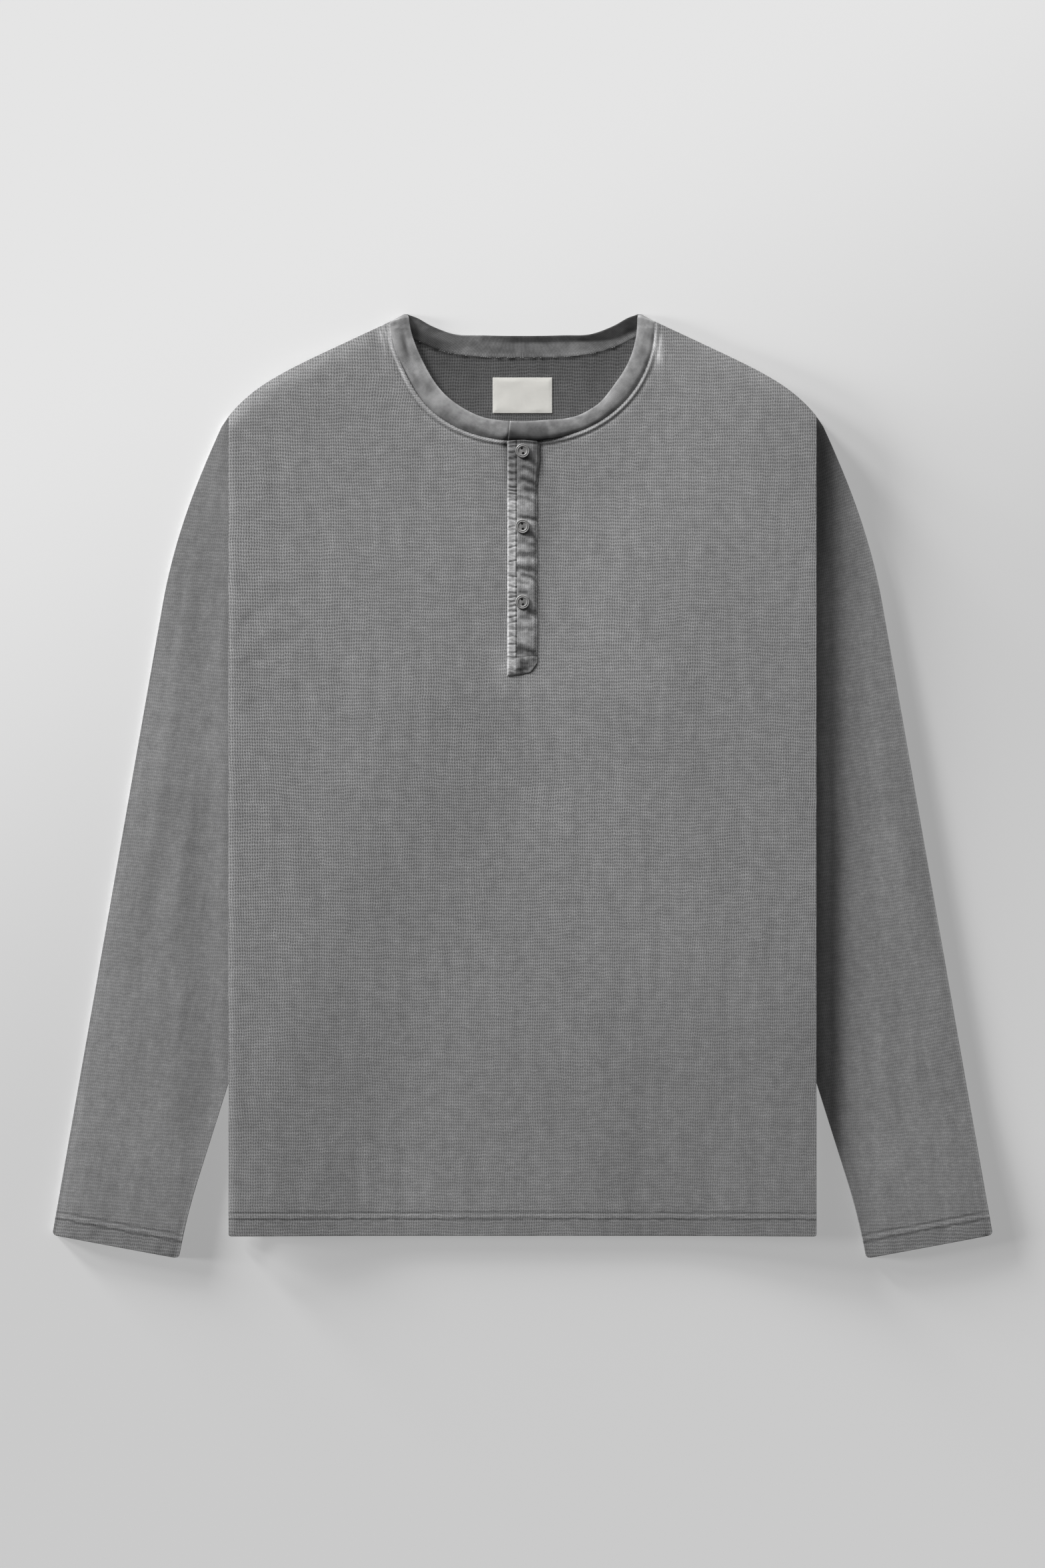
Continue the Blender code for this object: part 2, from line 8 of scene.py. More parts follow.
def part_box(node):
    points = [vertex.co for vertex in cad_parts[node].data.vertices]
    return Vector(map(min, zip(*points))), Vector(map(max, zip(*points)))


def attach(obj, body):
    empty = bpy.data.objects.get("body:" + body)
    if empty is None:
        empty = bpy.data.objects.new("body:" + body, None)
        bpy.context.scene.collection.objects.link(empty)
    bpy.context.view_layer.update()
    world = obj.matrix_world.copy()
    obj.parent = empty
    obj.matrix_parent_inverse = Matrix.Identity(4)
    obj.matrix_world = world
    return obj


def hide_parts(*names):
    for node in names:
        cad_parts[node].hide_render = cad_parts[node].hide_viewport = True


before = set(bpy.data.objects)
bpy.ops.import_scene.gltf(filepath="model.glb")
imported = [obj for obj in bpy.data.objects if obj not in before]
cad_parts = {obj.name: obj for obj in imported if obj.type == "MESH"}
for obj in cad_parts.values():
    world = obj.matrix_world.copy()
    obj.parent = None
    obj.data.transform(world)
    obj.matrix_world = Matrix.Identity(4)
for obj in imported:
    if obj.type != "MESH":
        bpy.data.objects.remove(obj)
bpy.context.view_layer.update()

mm = 0.001
print("frame loaded:", len(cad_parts), "nodes")


# small helpers

def softStep(value):
    value = min(max(value, 0.0), 1.0)
    return value * value * (3.0 - 2.0 * value)


def quarterRound(value):
    value = min(max(value, 0.0), 1.0)
    return math.sqrt(1.0 - (1.0 - value) ** 2)


def mix(start, end, share):
    return start + (end - start) * share


def mixPoints(start, end, share):
    return tuple(mix(low, high, share) for low, high in zip(start, end))


def bell(distance, width):
    return math.exp(-((distance / width) ** 2))


def ramp(value, start, end):
    # 0 before start and 1 past end, both in mm, and soft between; end may be the lower
    return softStep((value - start * mm) / ((end - start) * mm))


def hump(value, middle, width):
    # a bell with its middle and width in mm
    return bell(value - middle * mm, width * mm)


def wobble(*place):
    # slow unevenness, between about -1 and 1
    return noise.noise(Vector(place))


def spread(stops):
    # grid lines between stops of (place, step), each stretch divided evenly
    places = [stops[0][0]]
    for (start, step), (end, _) in zip(stops, stops[1:]):
        count = max(1, round(abs(end - start) / step))
        places += [mix(start, end, (index + 1) / count) for index in range(count)]
    return places


def edged(start, end, edge, step):
    # grid lines from start to end, closer together within edge of both ends
    fine = 0.2 * mm
    return spread([(start, fine), (start + edge, step), (end - edge, fine), (end, 1.0)])


# studio: pale floor, soft light from the upper left, and a long lens looking straight down

studio = {
    "imageHeight": 1.2101,  # metres of floor up the picture
    "imageCentreY": 2.1 * mm,
    "lens": 150.0,
    "sensor": 36.0,
    "floorSize": 40.0,
    "floorGap": 0.05 * mm,  # between the floor and the shirt
    # the floor's colour runs from floorDark to floorLight, a painted fall-off of the light, and floorGlow is
    # its painted glow
    "floorLight": 0.845,
    "floorDark": 0.638,
    "floorGlow": 0.51,
    "sunTowards": 136.0,  # degrees round from +X
    "sunRise": 15.0,
    "sunAngle": 22.0,
    "sunStrength": 5.3,
    # towards, rise and share of the light of each low lamp
    "lows": ((134.0, 5.8, 0.40), (153.0, 6.2, 0.32), (176.0, 7.6, 0.28)),
    "lowAngle": 11.0,
    "lowLight": 1.10,
    "fillFrom": (-0.1, 1.55, 0.75),
    "fillSize": (1.2, 0.7),
    "fillPower": 11.0,
    "world": 0.065,
}


def addLight(name, kind, power, place, target=(0.0, 0.0, 0.0)):
    light = bpy.data.lights.new(name, kind)
    light.energy = power
    lamp = bpy.data.objects.new(name, light)
    lamp.location = place
    lamp.rotation_euler = (Vector(target) - Vector(place)).to_track_quat("-Z", "Y").to_euler()
    bpy.context.scene.collection.objects.link(lamp)
    return lamp


def addSun(name, strength, towards, rise, angle):
    turn = math.radians(towards)
    rise = math.radians(rise)
    away = 3.0  # a sun lights the same from any distance
    place = (away * math.cos(turn) * math.cos(rise), away * math.sin(turn) * math.cos(rise),
             away * math.sin(rise))
    lamp = addLight(name, "SUN", strength, place)
    lamp.data.angle = math.radians(angle)
    return lamp


def lightFloor(lamp, floor, state):
    # whether a lamp lights the floor alone, or all but the floor
    receivers = bpy.data.collections.new(f"{lamp.name} receivers")
    receivers.objects.link(floor)
    receivers.collection_objects[0].light_linking.link_state = state
    lamp.light_linking.receiver_collection = receivers


def addLights(floor):
    # the floor has lamps of its own, lower and wider, which keep the shadows on it long and soft
    sun = addSun("sun", studio["sunStrength"], studio["sunTowards"], studio["sunRise"], studio["sunAngle"])
    fill = addLight("fill", "AREA", studio["fillPower"], studio["fillFrom"])
    fill.data.shape = "RECTANGLE"
    fill.data.size, fill.data.size_y = studio["fillSize"]
    lightFloor(sun, floor, "EXCLUDE")
    lightFloor(fill, floor, "EXCLUDE")
    for towards, rise, share in studio["lows"]:
        strength = studio["lowLight"] * share / math.sin(math.radians(rise))
        low = addSun(f"low sun {towards:.0f}", strength, towards, rise, studio["lowAngle"])
        lightFloor(low, floor, "INCLUDE")


def addCamera():
    camera = bpy.data.objects.new("camera", bpy.data.cameras.new("camera"))
    camera.data.lens = studio["lens"]
    camera.data.sensor_width = studio["sensor"]
    distance = studio["imageHeight"] * studio["lens"] / studio["sensor"]
    camera.location = (0.0, studio["imageCentreY"], distance)
    camera.data.clip_end = 100.0
    bpy.context.scene.collection.objects.link(camera)
    bpy.context.scene.camera = camera


# shader maths: a socket that can be added, multiplied and compared, and a material that makes nodes

class Signal:
    def __init__(self, finish, socket):
        self.finish = finish
        self.socket = socket

    def maths(self, operation, *values):
        return self.finish.node("ShaderNodeMath", {"operation": operation}, *values)

    def __add__(self, other):
        return self.maths("ADD", self, other)

    def __radd__(self, other):
        return self.maths("ADD", other, self)

    def __sub__(self, other):
        return self.maths("SUBTRACT", self, other)

    def __rsub__(self, other):
        return self.maths("SUBTRACT", other, self)

    def __mul__(self, other):
        return self.maths("MULTIPLY", self, other)

    def __rmul__(self, other):
        return self.maths("MULTIPLY", other, self)

    def __truediv__(self, other):
        return self.maths("DIVIDE", self, other)

    def fraction(self):
        return self.maths("FRACT", self)

    def absolute(self):
        return self.maths("ABSOLUTE", self)

    def wave(self, length, shape="SINE"):
        # between 0 and 1, once in each length
        return self.maths(shape, self * (2 * math.pi / length)) * 0.5 + 0.5

    def least(self, other):
        return self.maths("MINIMUM", self, other)

    def step(self, low, high):
        # 0 below low, 1 above high, soft between; low may be the larger
        settings = {"interpolation_type": "SMOOTHSTEP", "clamp": True}
        return self.finish.node("ShaderNodeMapRange", settings, self, low, high, 0.0, 1.0)


class Finish:
    def __init__(self, name, **sockets):
        self.material = bpy.data.materials.new(name)
        self.material.use_nodes = True
        self.tree = self.material.node_tree
        self.shader = self.tree.nodes["Principled BSDF"]
        for socket, value in sockets.items():
            self.shader.inputs[socket.replace("_", " ")].default_value = value

    def node(self, kind, settings=None, *values, output=0, **named):
        made = self.tree.nodes.new(kind)
        for key, value in (settings or {}).items():
            setattr(made, key, value)
        for key, value in list(enumerate(values)) + list(named.items()):
            socket = made.inputs[key.replace("_", " ") if isinstance(key, str) else key]
            if isinstance(value, Signal):
                self.tree.links.new(value.socket, socket)
            elif value is not None:
                socket.default_value = value
        return Signal(self, made.outputs[output])

    def clothPlace(self):
        # the piece's own cloth coordinates, in metres across and along the grain
        return self.node("ShaderNodeUVMap", {"uv_map": "cloth"})

    def split(self, vector):
        return [self.node("ShaderNodeSeparateXYZ", None, vector, output=index) for index in range(3)]

    def marks(self, *names):
        # what the mesh says at each point
        return [self.node("ShaderNodeAttribute", {"attribute_name": name}, output="Fac") for name in names]

    def stretched(self, vector, scale):
        return self.node("ShaderNodeVectorMath", {"operation": "MULTIPLY"}, vector, scale)

    def clouds(self, vector, scale, detail=2.0, roughness=0.5):
        return self.node("ShaderNodeTexNoise", {"noise_dimensions": "3D"}, Vector=vector, Scale=scale,
                         Detail=detail, Roughness=roughness)

    def shifted(self, vector, scale, amount):
        # the vector pushed about by soft noise, so that a grid isn't drawn with a ruler
        noiseColour = self.node("ShaderNodeTexNoise", {"noise_dimensions": "3D"}, Vector=vector, Scale=scale,
                                Detail=1.0, output="Color")
        centred = self.node("ShaderNodeVectorMath", {"operation": "SUBTRACT"}, noiseColour, (0.5, 0.5, 0.5))
        push = self.node("ShaderNodeVectorMath", {"operation": "SCALE"}, centred, Scale=amount)
        return self.node("ShaderNodeVectorMath", {"operation": "ADD"}, vector, push)

    def grey(self, level, tint=(1.0, 1.0, 1.0)):
        # a brightness as a colour with a slight tint
        return self.node("ShaderNodeCombineColor", None, level * tint[0], level * tint[1], level * tint[2])

    def use(self, **links):
        for socket, signal in links.items():
            self.tree.links.new(signal.socket, self.shader.inputs[socket.replace("_", " ")])
        return self.material

    def relief(self, height, depth, strength=1.0):
        return self.node("ShaderNodeBump", None, Strength=strength, Distance=depth, Height=height)


# waffle knit: small slanted pits in a lighter lattice, washed unevenly

waffle = {
    "across": 1.885 * mm,
    "along": 2.56 * mm,
    "light": 0.385,
    "dark": 0.13,
    "meanDepth": 0.385,
    "relief": 0.3 * mm,
    "bend": 6.0 * mm,
    "hemLines": (12.7 * mm, 17.8 * mm),
}
clothTint = (1.0, 0.997, 1.004)
# how deep the ribs, pits and rows are drawn, how they lean and sway, how uneven the yarn, the wash and the
# courses are, and how bright the side is
bodyKnit = {"ribs": 0.41, "pits": 0.36, "rows": 0.17, "slant": 0.28, "sway": 2.8 * mm,
            "rough": 1.0, "wash": 0.18, "course": 0.28, "level": 1.06}
sleeveKnit = {"ribs": 0.03, "pits": 0.28, "rows": 0.03, "slant": 0.30, "sway": 1.6 * mm,
              "rough": 1.0, "wash": 0.50, "course": 0.14, "level": 1.015}
# the inside is painted darker, as the shade inside the shirt
insideKnit = {"ribs": 0.32, "pits": 0.38, "rows": 0.24, "slant": 0.10, "sway": 2.8 * mm,
              "rough": 0.85, "wash": 0.3, "course": 0.28, "level": 0.455}


def waffleFinish(name, knit):
    finish = Finish(name, Roughness=0.92, Sheen_Weight=0.08, Sheen_Roughness=0.5, Specular_IOR_Level=0.2)
    place = finish.clothPlace()
    long = finish.stretched(place, (1.0, 0.16, 1.0))
    flat = finish.stretched(place, (0.22, 1.0, 1.0))
    bent = finish.shifted(finish.shifted(place, 9.0, waffle["bend"]), 26.0, knit["sway"])
    across, along, _ = finish.split(finish.shifted(bent, 170.0, 1.1 * mm))
    along = along + (finish.clouds(long, 270.0, 1.0) - 0.5) * (1.3 * mm)
    across = across + (finish.clouds(flat, 250.0, 1.0) - 0.5) * (0.8 * mm)
    cellX = (across / waffle["across"]).fraction() - 0.5
    cellY = (along / waffle["along"]).fraction() - 0.5
    fibre = finish.clouds(place, 1300.0, 2.0, 0.65)
    uneven = finish.clouds(place, 300.0, 2.0, 0.6)
    blotch = finish.clouds(place, 105.0, 3.0, 0.6)
    cloud = finish.clouds(place, 20.0, 3.0, 0.55)
    streak = finish.clouds(long, 110.0, 2.0, 0.6)
    wash = finish.clouds(long, 46.0, 2.0, 0.6)
    course = finish.clouds(flat, 340.0, 2.0, 0.6)
    hem, seam, run, rope, wear, shade, drawn = finish.marks(
        "hemRise", "seamGap", "seamRun", "rope", "wear", "shade", "drawn")
    # the pits are painted darker: partly the knit's own pattern, partly painted shade in them
    ribs = (cellX + cellY * knit["slant"]).wave(1.0, "COSINE")
    rows = cellY.wave(1.0, "COSINE")
    pit = ribs * (knit["ribs"] + knit["pits"] * rows) + rows * knit["rows"]
    speck = (cellX.absolute() - 0.5).absolute().step(0.22, 0.0)
    speck = speck * (cellY.absolute() - 0.5).absolute().step(0.16, 0.0) * drawn
    # turned hem: two soft stitched furrows painted darker, as shade in them, with a ridge between them
    # painted lighter, as if lit, and the turned band a little darker
    low, high = waffle["hemLines"]
    wander = (blotch - 0.5) * (3.8 * mm)
    furrowLow = (hem - low + wander).absolute().step(2.0 * mm, 0.1 * mm) * (0.3 + uneven)
    furrowHigh = (hem - high + wander).absolute().step(1.4 * mm, 0.1 * mm) * (0.1 + uneven)
    turned = hem.step(19.5 * mm, 18.0 * mm)
    ridge = (hem - (low + high) / 2 + wander).absolute().step(2.0 * mm, 0.9 * mm)
    # ropy ridge along the neck seam: its twists painted lighter and darker, as if lit, and painted shade in
    # the groove beside it
    twist = (run + seam * 0.9 + blotch * (2.4 * mm)).wave(2.3 * mm)
    ropeBand = seam.step(0.2 * mm, 1.0 * mm) * seam.step(3.9 * mm, 2.6 * mm) * rope
    underRope = (seam - 4.2 * mm).absolute().step(1.4 * mm, 0.1 * mm) * (0.3 + 0.7 * rope)
    meanDepth = knit["ribs"] / 2 + knit["pits"] / 4 + knit["rows"] / 2
    depth = (pit * (0.44 + 1.12 * uneven) * drawn + meanDepth * (1.0 - drawn)) * (1.0 - 0.7 * ropeBand)
    depth = depth * (1.0 - 0.3 * wear.least(1.5))
    level = waffle["light"] - (depth + (waffle["meanDepth"] - meanDepth)) * (waffle["light"] - waffle["dark"])
    rough = knit["rough"]
    level = level * (1.0 + 0.55 * rough * speck * uneven)
    level = level * (1.0 + 0.84 * rough * (fibre - 0.5)) * (1.0 + 0.52 * rough * (uneven - 0.5))
    level = level * (0.74 + 0.52 * blotch) * (0.93 + 0.14 * cloud) * (0.88 + 0.24 * streak)
    level = level * (1.0 + knit["course"] * (course - 0.5))
    level = level * (1.0 + knit["wash"] * (wash - 0.5))
    level = level * (1.0 + 0.40 * ridge * uneven) * (1.0 - 0.08 * turned)
    level = level * (1.0 - 0.50 * furrowLow * blotch.step(0.30, 0.52)) * (1.0 - 0.30 * furrowHigh)
    level = level * (1.0 + ropeBand * (twist * (0.14 + 0.32 * uneven) - 0.05))
    level = level * (1.0 - 0.42 * underRope * uneven)
    # lighter with real wear and painted light, darker with mostly painted shade
    level = level * (1.0 + 0.55 * wear) * (1.0 - shade) * knit["level"]
    height = 0.5 - depth + fibre * 0.3 + speck * 0.3 + ropeBand * twist * 0.4
    height = height - furrowLow * 0.4 - furrowHigh * 0.3
    return finish.use(Base_Color=finish.grey(level, clothTint),
                      Normal=finish.relief(height, waffle["relief"], 0.35))


# the neckband's fine rib

rib = {
    "pitch": 1.02 * mm,
    "light": 0.42,
    "dark": 0.22,
    "relief": 0.16 * mm,
}


def ribFinish(name):
    finish = Finish(name, Roughness=0.9, Sheen_Weight=0.1, Sheen_Roughness=0.5, Specular_IOR_Level=0.2)
    place = finish.clothPlace()
    across, along, _ = finish.split(finish.shifted(place, 60.0, 0.8 * mm))
    line = across.wave(rib["pitch"])
    fibre = finish.clouds(place, 1300.0, 2.0, 0.65)
    cloud = finish.clouds(place, 62.0, 3.0, 0.62)
    streak = finish.clouds(finish.stretched(place, (0.45, 1.0, 1.0)), 240.0, 2.0, 0.6)
    wear, shade, inBack = finish.marks("wear", "shade", "inBack")
    # where the band is sewn at the back a row of lighter beads shows
    seamRow = (along - 2.2 * mm + (cloud - 0.5) * (1.6 * mm)).absolute().step(1.3 * mm, 0.3 * mm) * inBack
    bead = across.wave(1.9 * mm) * seamRow
    washed = cloud.step(0.30, 0.68)
    level = rib["dark"] + washed * (rib["light"] - rib["dark"])
    level = level * (0.80 + 0.40 * fibre) * (0.84 + 0.32 * streak)
    level = level * (1.0 - (0.14 * cloud + 0.40 * inBack) * line)
    # lighter with real wear and painted light, darker with mostly painted shade
    level = level * (1.0 + 0.6 * wear + bead * streak * 0.4) * (1.0 - shade)
    height = fibre * 0.5 + streak * 0.5 - line * (0.3 + 0.4 * inBack) + bead * 0.3
    return finish.use(Base_Color=finish.grey(level, (1.0, 0.997, 1.003)),
                      Normal=finish.relief(height, rib["relief"], 0.6))


def placketFinish(name):
    finish = Finish(name, Roughness=0.9, Sheen_Weight=0.08, Sheen_Roughness=0.5, Specular_IOR_Level=0.2)
    place = finish.clothPlace()
    across, along, _ = finish.split(finish.shifted(place, 130.0, 1.5 * mm))
    line = across.wave(1.66 * mm)
    dash = along.wave(2.3 * mm)
    fibre = finish.clouds(place, 1300.0, 2.0, 0.65)
    grain = finish.clouds(place, 420.0, 3.0, 0.65)
    cloud = finish.clouds(place, 120.0, 3.0, 0.6)
    flange, wear, shade = finish.marks("flange", "wear", "shade")
    pit = line * (0.5 + 0.5 * dash) * (1.0 - 0.8 * flange) * (0.4 + cloud)
    level = 0.405 - 0.12 * pit
    level = level * (0.70 + 0.60 * fibre) * (0.66 + 0.68 * grain) * (0.76 + 0.48 * cloud)
    # lighter with real wear and painted light, darker with mostly painted shade
    level = level * (1.0 + 1.1 * wear) * (1.0 - shade)
    height = fibre * 0.4 + grain * 0.9 - pit * 0.5
    return finish.use(Base_Color=finish.grey(level, clothTint),
                      Normal=finish.relief(height, 0.25 * mm, 0.6))


def threadFinish(name, light):
    finish = Finish(name, Roughness=0.75, Specular_IOR_Level=0.3)
    place = finish.node("ShaderNodeTexCoord", output="Object")
    fibre = finish.clouds(place, 2500.0, 2.0, 0.6)
    cloud = finish.clouds(place, 140.0, 2.0, 0.6)
    level = light * (0.75 + 0.5 * fibre) * (0.7 + 0.6 * cloud)
    return finish.use(Base_Color=finish.grey(level), Normal=finish.relief(fibre, 0.1 * mm, 0.6))


def buttonFinish():
    finish = Finish("smoky button", Specular_IOR_Level=0.6, Coat_Roughness=0.08)
    place = finish.node("ShaderNodeTexCoord", output="Object")
    swirl = finish.clouds(place, 160.0, 3.0, 0.55)
    speck = finish.clouds(place, 900.0, 2.0, 0.6)
    level = 0.19 + 0.16 * swirl.step(0.35, 0.7) + 0.07 * speck
    return finish.use(Base_Color=finish.grey(level, (1.0, 0.99, 0.98)), Roughness=0.34 + 0.18 * speck,
                      Coat_Weight=0.18 + 0.1 * swirl, Normal=finish.relief(speck, 0.05 * mm, 0.25))


def labelFinish():
    finish = Finish("label tape", Sheen_Weight=0.1, Specular_IOR_Level=0.4)
    place = finish.clothPlace()
    across, along, _ = finish.split(place)
    warp = across.wave(0.42 * mm)
    weft = along.wave(0.36 * mm)
    cloud = finish.clouds(place, 90.0, 3.0, 0.6)
    wear, = finish.marks("wear")
    level = (0.78 + 0.13 * cloud - 0.045 * warp * weft) * (1.0 - 0.12 * wear)
    return finish.use(Base_Color=finish.grey(level, (1.0, 0.985, 0.93)), Roughness=0.62 + 0.12 * cloud,
                      Normal=finish.relief(warp * weft, 0.06 * mm, 0.5))


def floorFinish():
    # pale paper that glows a little, painted light that keeps the shadows on it light; its colour is painted
    # lighter towards the upper left, a painted fall-off of the light
    finish = Finish("floor paper", Roughness=0.9, Specular_IOR_Level=0.1, Emission_Strength=1.0)
    place = finish.node("ShaderNodeTexCoord", output="Object")
    x, y, _ = finish.split(place)
    brighter = studio["floorLight"] - studio["floorDark"]
    # painted fall-off of the light: lighter towards the upper left
    level = studio["floorDark"] + (y - x * 0.5).step(-0.15, 0.52) * brighter
    return finish.use(Base_Color=finish.grey(level), Emission_Color=finish.grey(level * studio["floorGlow"]))


def addFloor():
    grid = bmesh.new()
    bmesh.ops.create_grid(grid, x_segments=1, y_segments=1, size=studio["floorSize"] / 2)
    bmesh.ops.translate(grid, vec=(0.0, 0.0, -studio["floorGap"]), verts=grid.verts)
    mesh = bpy.data.meshes.new("floor")
    grid.to_mesh(mesh)
    grid.free()
    mesh.materials.append(floorFinish())
    floor = bpy.data.objects.new("floor", mesh)
    bpy.context.scene.collection.objects.link(floor)
    return floor


# meshes from mapped grids

def mappedGrid(columns, rows, place):
    # place(column, row) gives the point, its cloth coordinates and its marks
    grid = bmesh.new()
    bmesh.ops.create_grid(grid, x_segments=columns - 1, y_segments=rows - 1, size=0.5)
    uvLayer = grid.loops.layers.uv.new("cloth")
    layers = {name: grid.verts.layers.float.new(name) for name in place(0, 0)[2]}
    for vertex in grid.verts:
        column = round((vertex.co.x + 0.5) * (columns - 1))
        row = round((vertex.co.y + 0.5) * (rows - 1))
        point, uv, marks = place(column, row)
        vertex.co = point
        for loop in vertex.link_loops:
            loop[uvLayer].uv = uv
        for name, value in marks.items():
            vertex[layers[name]] = value
    return grid


def addPiece(name, grid, materials, replaced=()):
    crisp = grid.verts.layers.float.get("crisp")
    for face in grid.faces:
        face.smooth = True
    if crisp:
        for edge in grid.edges:
            edge.smooth = not all(vertex[crisp] for vertex in edge.verts)
    mesh = bpy.data.meshes.new(name)
    grid.to_mesh(mesh)
    grid.free()
    for material in materials:
        mesh.materials.append(material)
    piece = bpy.data.objects.new(name, mesh)
    bpy.context.scene.collection.objects.link(piece)
    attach(piece, "root")
    if replaced:
        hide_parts(*replaced)
    return piece


def addWall(piece, wall, offset):
    # the mark "wall" holds each point's share of the full thickness
    group = piece.vertex_groups.new(name="wall")
    shares = piece.data.attributes["wall"].data
    for index, share in enumerate(shares):
        group.add([index], share.value, "REPLACE")
    solidify = piece.modifiers.new("Wall", "SOLIDIFY")
    solidify.thickness = wall
    solidify.offset = offset
    solidify.use_even_offset = False
    solidify.use_quality_normals = True
    solidify.vertex_group = group.name
    solidify.thickness_vertex_group = 0.0
    solidify.material_offset = 1
    solidify.material_offset_rim = 0


# body: outlines and heights, as the solids have them

body = {
    "wall": 1.4 * mm,
    "turned": 2.2 * mm,
    "gap": 0.3 * mm,
    "half": 226.6 * mm,
    "hemY": -346.3 * mm,
    "hemDepth": 17.0 * mm,
    "hemStep": 4.0 * mm,
    "neckHalf": 102.0 * mm,
    "neckY": 359.1 * mm,
    "shoulderFall": 58.7 * mm,
    "shoulderRound": 14.9 * mm,
    "frontNeckY": 266.5 * mm,
    "backNeckY": 331.3 * mm,
    "rowsTop": 212.0 * mm,
    "shoulderRun": 14.0 * mm,
    "fold": 0.35 * mm,
    "cornerRadius": 1.6 * mm,
    "frontLoft": 2.2 * mm,
    "sideLoft": 5.5 * mm,
    "sideLoftRun": 150.0 * mm,
    "collarLiftRun": 30.0 * mm,
    "backOverSleeve": 4.1 * mm,
    "tentMargin": 20.0 * mm,
    "tentRun": 45.0 * mm,
    "frontTentRun": 130.0 * mm,
    "slotHalf": 11.3 * mm,
    "slotFootY": 88.0 * mm,
    "slotShownY": 99.0 * mm,  # below this the cloth under the strip's foot is left whole
    "underarm": (134.0 * mm, 64.6 * mm),
    "forearmInner": (249.4 * mm, -300.0 * mm),
    "shoulderTip": (226.6 * mm, 285.5 * mm),
    "scoopPower": 2.15,
    "backNeckPower": 3.3,
    "shoulderPower": 6.5,
}


def shoulderY(x):
    run = (abs(x) - body["neckHalf"]) / (body["half"] - body["neckHalf"])
    droop = body["shoulderRound"] * max(run, 0.0) ** body["shoulderPower"]
    return body["neckY"] - body["shoulderFall"] * run - droop


def frontNeckY(x):
    share = min(abs(x) / body["neckHalf"], 1.0)
    rest = (1.0 - share ** body["scoopPower"]) ** (1.0 / body["scoopPower"])
    return body["neckY"] - (body["neckY"] - body["frontNeckY"]) * rest


def backNeckY(x):
    share = min(abs(x) / body["neckHalf"], 1.0)
    return body["backNeckY"] + (body["neckY"] - body["backNeckY"]) * share ** body["backNeckPower"]


def sleeveDistance(x, y):
    x = abs(x)
    distances = []
    start = body["underarm"]
    for end, side in ((body["forearmInner"], 1.0), (body["shoulderTip"], -1.0)):
        along = (end[0] - start[0], end[1] - start[1])
        across = along[0] * (y - start[1]) - along[1] * (x - start[0])
        distances.append(-side * across / math.hypot(*along))
    return max(distances)


def tent(x, y, run):
    # the cloth's rise over the head of the sleeve below it
    return body["backOverSleeve"] * (1.0 - softStep((sleeveDistance(x, y) - body["tentMargin"]) / run))


def backUnder(x, y):
    return tent(x, y, body["tentRun"])


def bodyWall(y):
    turned = softStep((body["hemY"] + body["hemDepth"] + body["hemStep"] - y) / body["hemStep"])
    return mix(body["wall"], body["turned"], turned)


def collarHeld(x):
    # 1 at the neck, and 0 a little way out along the shoulder
    return softStep((body["neckHalf"] + body["collarLiftRun"] - abs(x)) / body["collarLiftRun"])


def shoulderDistance(x, y):
    drop = (shoulderY(x) - y) / math.hypot(1.0, body["shoulderFall"] / (body["half"] - body["neckHalf"]))
    return max(drop, 0.0) + body["shoulderRun"] * collarHeld(x)


def frontUnder(x, y):
    side = body["half"] - abs(x)
    loft = mix(body["sideLoft"], body["frontLoft"], softStep(side / body["sideLoftRun"]))
    roll = softStep(0.55 + 0.45 * shoulderDistance(x, y) / body["shoulderRun"])
    loft -= 2.0 * (bodyWall(y) - body["wall"])  # pressed flat along the hem
    return tent(x, y, body["frontTentRun"]) + bodyWall(y) + body["gap"] + (loft - body["gap"]) * roll


def frontTop(x, y):
    return frontUnder(x, y) + bodyWall(y)


# creases: x and y of the middle, direction in degrees, half length, half width and rise, all else in mm

frontCreases = (
    (127, -293, -54, 38, 7, 0.61),
    (140, -300, -57, 34, 6, -0.39),
    (-196, 140, 24, 42, 6, -0.16),
    (-199, 100, 28, 36, 5, -0.16),
    (-198, 66, 20, 34, 6, -0.14),
    (-190, 120, 26, 40, 6, 0.14),
    (-60, 236, -38, 40, 8, -0.10),
    (26, 190, 88, 44, 8, -0.18),
    (-28, 222, 80, 34, 9, 0.12),
    (-120, 40, 12, 90, 18, -0.10),
    (90, 10, -16, 110, 20, -0.10),
    (-150, -210, 62, 80, 14, -0.12),
    (176, 214, 60, 50, 12, 0.10),
    (-160, 262, -44, 46, 10, 0.10),
    (60, -180, 74, 90, 16, 0.10),
    (-40, -280, 96, 60, 10, -0.10),
    (184, -60, 98, 90, 12, 0.08),
)
# painted shade of small pulls in from the left side, in the same terms, rise being how dark
pullShades = (
    (-213, 132, 52, 14, 3.0, 0.26),
    (-209, 140, 48, 18, 3.5, -0.10),
    (-214, 98, 46, 12, 3.0, 0.14),
    (-211, 66, 40, 13, 2.6, 0.12),
    (-217, 160, 60, 12, 2.6, 0.10),
)
# abraded marks beside the band at the shoulders, in the same terms, rise being how light
scuffs = (
    (-104.2, 342.6, -77, 15, 1.3, 1.9),
    (-103.0, 351.4, -85, 9, 0.8, 1.6),
    (-109.2, 344.0, -81, 14, 1.3, 1.5),
    (-106.0, 355.5, -27, 8, 3.0, 0.9),
    (-95.4, 317.7, -65, 13, 1.1, 1.0),
    (-106.0, 352.0, -70, 12, 6.0, 0.6),
    (104.5, 336.5, 86, 16, 3.0, 2.6),
    (102.0, 346.0, 85, 9, 0.8, 1.3),
    (108.2, 329.3, 85, 12, 1.2, 1.1),
    (95.6, 311.0, 66, 10, 1.1, 1.0),
)
backCreases = (
    (-60, 60, 70, 120, 16, 0.36),
    (80, -120, 110, 130, 18, 0.36),
    (10, 200, 15, 90, 14, 0.30),
    (-30, -230, 50, 80, 14, 0.30),
)


